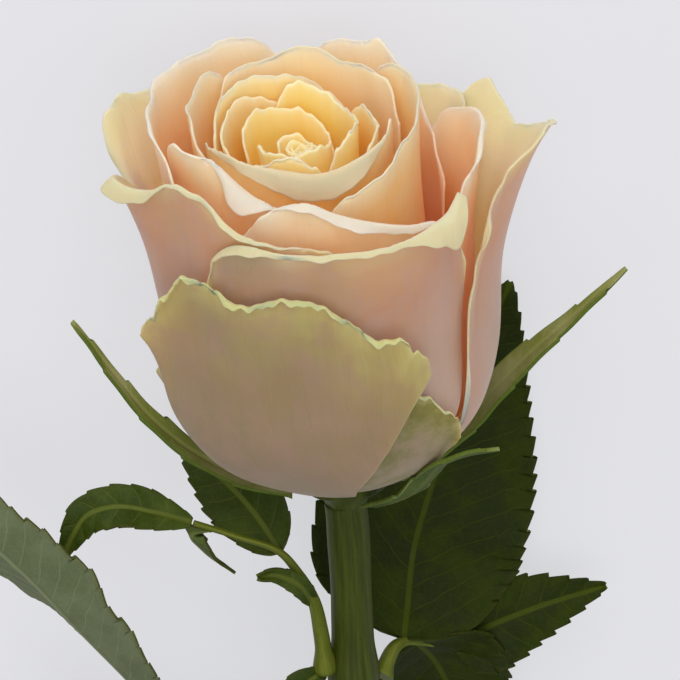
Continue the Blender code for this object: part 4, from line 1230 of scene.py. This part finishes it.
@dataclass(frozen=True)
class Bloom:
    """Builds the petals and the bud. Its shares are of a petal's height."""

    bench: Workbench
    belly_height: float = 22.0
    flare_power: int = 3
    climb_power: float = 1.5
    claw_half_angle: float = 14.0
    claw_share: float = 0.8
    slanted_claw_angle: float = 16.0
    seat_height_slope: float = 0.32
    heart_shift: float = -2.4
    heart_belly: float = 13.0
    unshifted_belly: float = 21.0
    height: float = 50.0
    lip_share: float = 0.12
    frilled_share: float = 0.28
    toothed_share: float = 0.08
    thickness: float = 0.3
    rows: int = 46
    fewest_columns: int = 24
    column_width: float = 0.4
    bud_turns: float = 2.6
    bud_rows: int = 26
    bud_columns: int = 150
    bud_low: float = 30.0
    bud_high: float = 49.0
    bud_thickness: float = 0.22

    @staticmethod
    def rim_of(petal: Petal, shares: np.ndarray) -> tuple:
        """The petal's rim at shares of its length.

        Args:
            petal: the petal.
            shares: places along the rim from 0 to 1.

        Returns:
            Rows of angle, radius, height and lip, transposed, and the rim's length in millimetres.
        """
        rim = np.array(petal.rim, float)
        arc = math.radians(1) * rim[:, 1].mean()
        rim[:, 0] *= arc
        curve = along(rim, shares) / (arc, 1, 1, 1)
        return curve.T, float(lengths_of(np.diff(rim[:, :3], axis=0)).sum())

    def surface(self, petal: Petal, across: np.ndarray, up: np.ndarray, form: PetalForm, seed: int) -> tuple:
        """Points of the petal's middle surface in the bloom frame, and how far each is part of the lip that hangs
        over, which also masks the lip's pale colour and painted highlight.

        Args:
            petal: the petal.
            across: places across it from 0 to 1.
            up: places up it from 0, at its claw, to 1, at its rim.
            form: its frills.
            seed: picks their phases.

        Returns:
            A grid of points in millimetres, and a grid of shares from 0 to 1.
        """
        (angles, radii, heights, lips), length = self.rim_of(petal, across)
        lips = np.clip(lips, 0, None)
        v = up[:, None]
        lip_share = self.lip_share * smooth(lips)
        climb = np.clip(v / (1 - lip_share), 0, 1)
        over = np.clip((v - 1 + lip_share) / np.maximum(lip_share, 1e-6), 0, 1) * (lip_share > 1e-6)
        share = climb**self.climb_power

        # The petal widens from its claw, and a slanted one does so late on its last side.
        spread = np.clip(v / self.claw_share, 0, 1)
        spread = spread**1.5 * (2.5 - 1.5 * spread)
        claw = petal.claw + (2 * across - 1) * self.claw_half_angle
        if petal.slant:
            last_side = smooth((across - 0.5) / 0.5)
            slanted = np.clip((share - petal.slant) / (1 - petal.slant), 0, 1)
            spread = spread + (slanted - spread) * last_side
            claw = claw + self.slanted_claw_angle * last_side
        angle = claw + (angles - claw) * spread
        side = np.clip((angle - petal.rim[0][0]) / (petal.rim[-1][0] - petal.rim[0][0]), 0, 1)
        belly = petal.belly[0] + (petal.belly[1] - petal.belly[0]) * side

        # Frill, teeth and roll grow towards the rim, and stay away from the part that lies hidden.
        frilled = smooth((v - 1 + self.frilled_share) / self.frilled_share)
        toothed = np.clip((v - 1 + self.toothed_share) / self.toothed_share, 0, 1)
        bend = np.clip((v - 0.8) / 0.2, 0, 1) ** 2 - smooth((v - 0.4) / 0.5)
        free = smooth((across - HIDDEN_SHARES.get(petal.name, -1.0)) / 0.15)
        rim_run = across * length
        teeth = form.teeth * free * waves(rim_run, seed, (form.pitch, 1.6 * form.pitch, 2.9 * form.pitch))
        frill = form.frill * free * waves(rim_run, seed + 1, (7.3, 11.9, 19.0))

        # The belly swells from the seat on the hip, and the rim flares from the belly.
        seat_radius = SEAT_RADIUS_AT_AXIS + SEAT_RADIUS_SLOPE * belly
        seat_height = self.seat_height_slope * (WIDEST_BELLY - belly)
        height = seat_height + (heights + teeth * toothed - seat_height) * share
        rise = 1 - (1 - np.clip((height - seat_height) / self.belly_height, 0, 1)) ** 3
        radius = seat_radius + (belly - seat_radius) * rise + (radii - belly) * share**self.flare_power
        swell = waves(np.radians(angle) * belly, seed + 2, (17.0, 29.0)) * waves(height, seed + 3, (19.0, 33.0))
        radius = radius + frill * frilled * toothed + form.roll * free * bend + form.swell * swell * rise
        radius = radius + form.curl * lips * np.sin(math.pi / 2 * over)
        height = height - lips * (1 - np.cos(math.pi / 2 * over))
        inward = np.clip((self.unshifted_belly - belly) / (self.unshifted_belly - self.heart_belly), 0, 1)
        centre = SEAT_SHIFT * (1 - rise) + self.heart_shift * inward * height / self.height
        return round_axis(radius, np.radians(angle), centre, height), smooth(over / 0.5) * smooth(lips / 0.6)

    def finish(self, name: str, points: np.ndarray, kind: PetalKind, thickness: float,
               values: dict) -> bpy.types.Object:
        """Makes the piece of a petal or of the bud.

        Args:
            name: the name of the plain solid that it stands for.
            points: its middle surface in the bloom frame.
            kind: its whorl.
            thickness: in millimetres.
            values: what its finish reads, apart from the distances up it.

        Returns:
            The piece.
        """
        rise = run_of(points, 0)
        values = {"rise": rise, "rim_depth": rise[-1] - rise, **values}
        piece = self.bench.grid(f"{name}_shaped", points, self.bench.bloom, values)
        whorl = WHORLS[kind]
        sides = (self.bench.finishes.of(side, whorl.glow) for side in (whorl.outside, whorl.inside))
        self.bench.thicken(piece, thickness, *sides)
        self.bench.seat(piece, whorl.slot, name)
        return piece

    def make(self, petal: Petal, seed: int) -> bpy.types.Object:
        """Builds one petal.

        Args:
            petal: the petal.
            seed: picks its frills and its mottling.

        Returns:
            The piece.
        """
        columns = max(self.fewest_columns, round(self.rim_of(petal, np.zeros(1))[1] / self.column_width))
        across = np.linspace(0, 1, columns)
        up = 1 - (1 - np.linspace(0, 1, self.rows)) ** 1.35
        points, lip_tone_and_highlight = self.surface(petal, across, up, WHORLS[petal.kind].form, seed * 10)
        angle = np.arctan2(points[..., 0], -points[..., 1])
        span = (angle - angle[:, columns // 2, None] + math.pi) % TURN - math.pi
        values = {"lip_tone_and_highlight": lip_tone_and_highlight, "span": span * lengths_of(points[..., :2])[..., 0], "seed": seed * 7.3}
        return self.finish(petal.name, points, petal.kind, self.thickness, values)

    def make_bud(self) -> bpy.types.Object:
        """Builds the unopened middle: one tight, frilled spiral.

        Returns:
            The piece.
        """
        across = np.linspace(0, 1, self.bud_columns)
        up = np.linspace(0, 1, self.bud_rows)[:, None]
        frill = 0.35 * waves(across * 30, 5, (3.1, 4.7))
        top = self.bud_high + 1.3 * np.sqrt(across) + frill - 1.2 * smooth((across - 0.9) / 0.1)
        height = self.bud_low + (top - self.bud_low) * up
        radius = (0.35 + 1.75 * across) * (0.75 + 0.25 * up) + 0.3 * np.clip((up - 0.85) / 0.15, 0, 1) ** 2
        centre = self.heart_shift * height / self.height
        points = round_axis(radius, across * self.bud_turns * TURN - 1.0, centre, height)
        values = {"lip_tone_and_highlight": 0.0, "span": across * 20, "seed": 3.0}
        return self.finish("heart_bud", points, PetalKind.HEART, self.bud_thickness, values)


@dataclass(frozen=True)
class Foliage:
    """Builds the sepals, the leaflets and the stalks."""

    bench: Workbench
    sepal_thickness: float = 0.55
    leaf_thickness: float = 0.38
    quilt_spacing: float = 3.4
    tooth_spacing: float = 2.6
    tooth_rows: int = 9
    stalk_radius: float = 0.9
    stalk_rows: int = 60
    stalk_sides: int = 14
    first_sepal_seed: int = 40
    first_leaf_seed: int = 60

    def surface(self, blade: Blade, form: BladeForm, seed: int) -> tuple:
        """Points of a blade's middle surface in the plant frame, and the values stored on them.

        Args:
            blade: the sepal or leaflet.
            form: its outline and relief.
            seed: picks its waves.

        Returns:
            A grid of points in millimetres and its values by name.
        """
        t = np.linspace(0, 1, form.rows)
        share = np.sin(np.linspace(-1, 1, form.columns) * math.pi / 2)[None, :]
        edge = np.abs(share)
        middle = along(blade.midrib, t)
        ahead = np.gradient(middle, axis=0)
        ahead /= lengths_of(ahead)
        sideways = np.cross(ahead, np.asarray(blade.facing, float))
        sideways /= lengths_of(sideways)
        upward = np.cross(sideways, ahead)
        turn = np.radians(blade.twist * t)[:, None]
        sideways, upward = (sideways * np.cos(turn) + upward * np.sin(turn),
                            upward * np.cos(turn) - sideways * np.sin(turn))

        # The outline: widest where the blade says, slim towards a tail, with teeth that point forward.
        swell = np.sin(math.pi * t ** (math.log(0.5) / math.log(blade.widest))) ** 0.85
        end_width = form.root_width + (0.5 - form.root_width) * t
        slim = 1 - form.tail * smooth((t - blade.widest) / (0.85 - blade.widest))
        half = ((end_width + (blade.width - end_width) * swell * slim) / 2)[:, None]
        tooth = (t[:, None] * form.teeth + 0.5 * (share > 0)) % 1.0
        reach = smooth((edge - 0.72) / 0.28) * np.sin(math.pi * t)[:, None] ** 0.4
        out = share * half + np.sign(share) * form.tooth_depth * (tooth - 0.5) * reach
        forward = form.tooth_depth * 0.9 * tooth * reach

        # The relief: fields that quilt between the side veins, a groove at the midrib and a waving edge.
        run = run_of(middle[:, None], 0)
        quilt = np.abs(np.sin(math.pi * (run - VEIN_SLOPE * np.abs(out)) / self.quilt_spacing)) ** 0.7 - 0.5
        quilt *= form.relief * smooth(np.abs(out) / 2.0) * (1 - smooth((edge - 0.75) / 0.25))
        groove = -0.35 * form.relief * np.exp(-((out / 0.5) ** 2))
        ripple = form.wave * waves(run + 0.4 * out, seed, (9.0, 15.0)) * edge**2
        lift = blade.fold * np.abs(out) + quilt + groove + ripple
        points = middle[:, None]
        for way, far in ((sideways, out), (upward, lift), (ahead, forward)):
            points = points + way[:, None] * far[..., None]
        return points, {"side": out, "run": run, "edge": edge, "seed": seed * 3.7}

    def make_blade(self, blade: Blade, form: BladeForm, finishes: tuple, thickness: float, slot: str,
                   seed: int) -> bpy.types.Object:
        """Builds one sepal or leaflet.

        Args:
            blade: the sepal or leaflet.
            form: its outline and relief.
            finishes: the finishes of its upper and lower side.
            thickness: in millimetres.
            slot: the record's material slot.
            seed: picks its waves and blotches.

        Returns:
            The piece.
        """
        points, values = self.surface(blade, form, seed)
        piece = self.bench.grid(f"{blade.name}_shaped", points, self.bench.plant, values)
        self.bench.thicken(piece, thickness, *map(self.bench.finishes.of, finishes))
        self.bench.seat(piece, slot, blade.name)
        return piece

    def make_sepals(self) -> None:
        """Builds the five sepals."""
        for seed, sepal in enumerate(SEPALS, self.first_sepal_seed):
            self.make_blade(sepal, SEPAL_FORM, SEPAL_FINISH, self.sepal_thickness, "sepal_green", seed)

    def make_leaves(self) -> None:
        """Builds each compound leaf: its stalk and its leaflets, whose midribs start at the stalk."""
        for number, leaf in enumerate(LEAVES):
            self.make_stalk(leaf)
            for seed, (place, blade) in enumerate(leaf.leaflets, self.first_leaf_seed + 10 * number):
                root = along(leaf.stalk, np.array([place]))[0]
                heading = np.subtract(blade.midrib[0], root)
                heading /= np.linalg.norm(heading)
                clear = 0.3 if place == 1.0 else 0.5 * self.stalk_radius
                midrib = (tuple(root + heading * clear), *blade.midrib)
                rooted = replace(blade, name=f"{leaf.name}_{blade.name}", midrib=midrib)
                teeth = round(float(run_of(np.array(midrib)[:, None], 0)[-1, 0]) / self.tooth_spacing)
                form = replace(LEAF_FORM, teeth=max(3, teeth), tooth_depth=min(0.75, 0.045 * blade.width),
                               rows=max(40, teeth * self.tooth_rows))
                finishes = LEAF_FINISHES[LEAF_KINDS[leaf.name]]
                self.make_blade(rooted, form, finishes, self.leaf_thickness, "leaf_dark_green", seed)

    def make_stalk(self, leaf: Leaf) -> bpy.types.Object:
        """Builds a leaf's stalk, which swells where it leaves the stem.

        Args:
            leaf: the leaf.

        Returns:
            The piece.
        """
        shares = np.linspace(0, 1, self.stalk_rows)
        radii = self.stalk_radius * (1.35 - 0.85 * smooth(shares / 0.8)) * (1 + 0.5 * (1 - smooth(shares / 0.12)))
        piece = self.bench.tube(f"{leaf.name}_stalk_shaped", along(leaf.stalk, shares), radii, self.stalk_sides)
        piece.data.materials.append(self.bench.finishes.of(STALK_FINISH))
        self.bench.seat(piece, "leaf_stalk_green", f"{leaf.name}_stalk")
        return piece


@dataclass(frozen=True)
class Stem:
    """Builds the stem with its prickles, and the hip."""

    bench: Workbench
    rows: int = 620
    sides: int = 40
    top_radius: float = 2.95
    cut_radius: float = 3.5
    cut_slant: float = 1.9
    knot_rise: float = 0.45
    knot_reach: float = 3.2
    prickle_length: float = 4.2
    prickle_spread: float = 2.6
    prickle_hook: float = 1.6
    prickle_power: float = 2.6
    hip_rows: int = 48
    hip_sides: int = 60

    def make_stem(self) -> bpy.types.Object:
        """Builds the stem: knots where leaves grow, hooked prickles and a slanting cut.

        Returns:
            The piece.
        """
        shares = np.linspace(0, 1, self.rows)
        path = along((STEM_TOP, *STEM_PATH), shares)
        radii = self.top_radius + (self.cut_radius - self.top_radius) * shares
        for leaf in LEAVES:
            away = np.abs(path[:, 2] - leaf.stalk[0][2])
            radii = radii + self.knot_rise * np.exp(-((away / self.knot_reach) ** 2))
        radii = radii + 0.06 * waves(path[:, 2], 11, (13.0, 31.0))
        turn = np.linspace(0, TURN, self.sides, endpoint=False)
        thorn = np.zeros((self.rows, self.sides))
        spike = np.zeros_like(thorn)
        for height, angle in PRICKLES:
            apart = (turn - math.radians(angle) + math.pi) % TURN - math.pi
            far = np.hypot((path[:, 2] - height)[:, None] / 1.25, apart[None, :] * radii.mean())
            near = np.clip(1 - far / self.prickle_spread, 0, 1)
            spike += near**self.prickle_power
            thorn = np.maximum(thorn, smooth(near * 1.3 - 0.15))
        piece = self.bench.tube("stem_shaped", path, radii, self.sides, self.prickle_length * spike, thorn)
        slant = self.cut_slant * np.sin(turn)[None, :] * smooth((shares - 0.98) / 0.02)[:, None]
        down = self.bench.plant.to_3x3() @ Vector((0, 0, -MM))
        for vert, drop in zip(piece.data.vertices, (self.prickle_hook * spike + slant).ravel()):
            vert.co += down * float(drop)
        for skin in (self.bench.finishes.of(STEM_FINISH), self.bench.finishes.pith()):
            piece.data.materials.append(skin)
        piece.data.polygons[len(piece.data.polygons) - 1].material_index = 1
        self.bench.seat(piece, "stem_green", "stem")
        return piece

    def make_hip(self) -> bpy.types.Object:
        """Builds the hip under the bloom.

        Returns:
            The piece.
        """
        radii, heights = along(HIP_PROFILE, np.linspace(0, 1, self.hip_rows)).T[..., None]
        turn = np.linspace(0, TURN, self.hip_sides, endpoint=False)[None, :]
        radius = radii * (1 + 0.02 * np.cos(10 * turn) * smooth(-heights / 3))
        points = round_axis(radius, math.pi - turn, SEAT_SHIFT, np.broadcast_to(heights, radius.shape))
        values = {"around": turn * 4.0, "run": run_of(points, 0), "thorn": 0.0}
        piece = self.bench.grid("hip_shaped", points, self.bench.bloom, values, closed=True)
        piece.data.materials.append(self.bench.finishes.of(HIP_FINISH))
        self.bench.seat(piece, "hip_green", "receptacle")
        return piece


@dataclass(frozen=True)
class Studio:
    """The pale table, the soft light and the camera. The table and the light are in metres."""

    bench: Workbench
    camera_distance: float = 650.0
    camera_tilt: float = 28.0
    camera_aim: tuple = (0.278, 18.19)
    camera_lens: float = 247.8
    sensor: float = 36.0
    table_half: float = 3.0
    table_clearance: float = 0.0002
    sky: float = 0.46

    @staticmethod
    def place(name: str, data: bpy.types.ID) -> bpy.types.Object:
        """Puts a mesh, light or camera into the scene.

        Args:
            name: the object's name.
            data: what it shows.

        Returns:
            The object.
        """
        made = bpy.data.objects.new(name, data)
        bpy.context.scene.collection.objects.link(made)
        return made

    def make_table(self, low: float) -> None:
        """Lays a wide table under the rose.

        Args:
            low: the height of the rose's lowest point, in metres.
        """
        mesh = bpy.data.meshes.new("table")
        corners = [(x * self.table_half, y * self.table_half, low - self.table_clearance)
                   for x, y in ((-1, -1), (1, -1), (1, 1), (-1, 1))]
        mesh.from_pydata(corners, [], [(0, 1, 2, 3)])
        mesh.materials.append(self.bench.finishes.table())
        self.place("table", mesh)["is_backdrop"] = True

    def make_camera(self) -> None:
        """Looks down at the bloom's front, a little from above its rim."""
        tilt = math.radians(self.camera_tilt)
        ahead = Vector((0, math.cos(tilt), -math.sin(tilt)))
        right = Vector((1, 0, 0))
        up = Vector((0, math.sin(tilt), math.cos(tilt)))
        place = right * self.camera_aim[0] + up * self.camera_aim[1] - ahead * self.camera_distance
        turned = Matrix((right, up, -ahead)).transposed().to_4x4()
        data = bpy.data.cameras.new("camera")
        data.sensor_width = self.sensor
        data.lens = self.camera_lens
        data.clip_start = 0.01
        data.clip_end = 20.0
        camera = self.place("camera", data)
        camera.matrix_world = self.bench.plant @ Matrix.Translation(place * MM) @ turned
        bpy.context.scene.camera = camera

    def make_light(self, panel: Panel) -> None:
        """Hangs one soft panel that faces the bloom.

        Args:
            panel: the panel.
        """
        data = bpy.data.lights.new(panel.name, "AREA")
        data.shape = "SQUARE"
        data.size = panel.size
        data.energy = panel.power
        data.color = linear(panel.colour)[:3]
        light = self.place(panel.name, data)
        way = Vector(panel.way).normalized()
        light.location = self.bench.bloom @ Vector((0, 0, 0.03)) + way * panel.distance
        light.rotation_mode = "QUATERNION"
        light.rotation_quaternion = (-way).to_track_quat("-Z", "Y")

    def make_lights(self) -> None:
        """Hangs the panels in an even pale sky."""
        for panel in PANELS:
            self.make_light(panel)
        world = bpy.data.worlds.new("studio")
        world.use_nodes = True
        inputs = {"Color": linear(SKY_COLOUR), "Strength": self.sky}
        Graph(world.node_tree).fill(world.node_tree.nodes["Background"], inputs)
        bpy.context.scene.world = world
        bpy.context.scene.view_settings.view_transform = "Standard"


def main() -> None:
    """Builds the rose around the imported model, then its studio."""
    logging.basicConfig(level=logging.INFO, format="%(name)s: %(message)s")
    for old in list(bpy.data.objects):
        bpy.data.objects.remove(old)
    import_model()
    bench = Workbench(Finishes(Textures()))
    studio = Studio(bench)
    studio.make_camera()
    studio.make_lights()
    bloom = Bloom(bench)
    for number, petal in enumerate(PETALS, 1):
        bloom.make(petal, number)
    bloom.make_bud()
    stem = Stem(bench)
    stem.make_stem()
    stem.make_hip()
    foliage = Foliage(bench)
    foliage.make_sepals()
    foliage.make_leaves()
    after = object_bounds()
    studio.make_table(after[0].z)


if __name__ == "__main__":
    main()
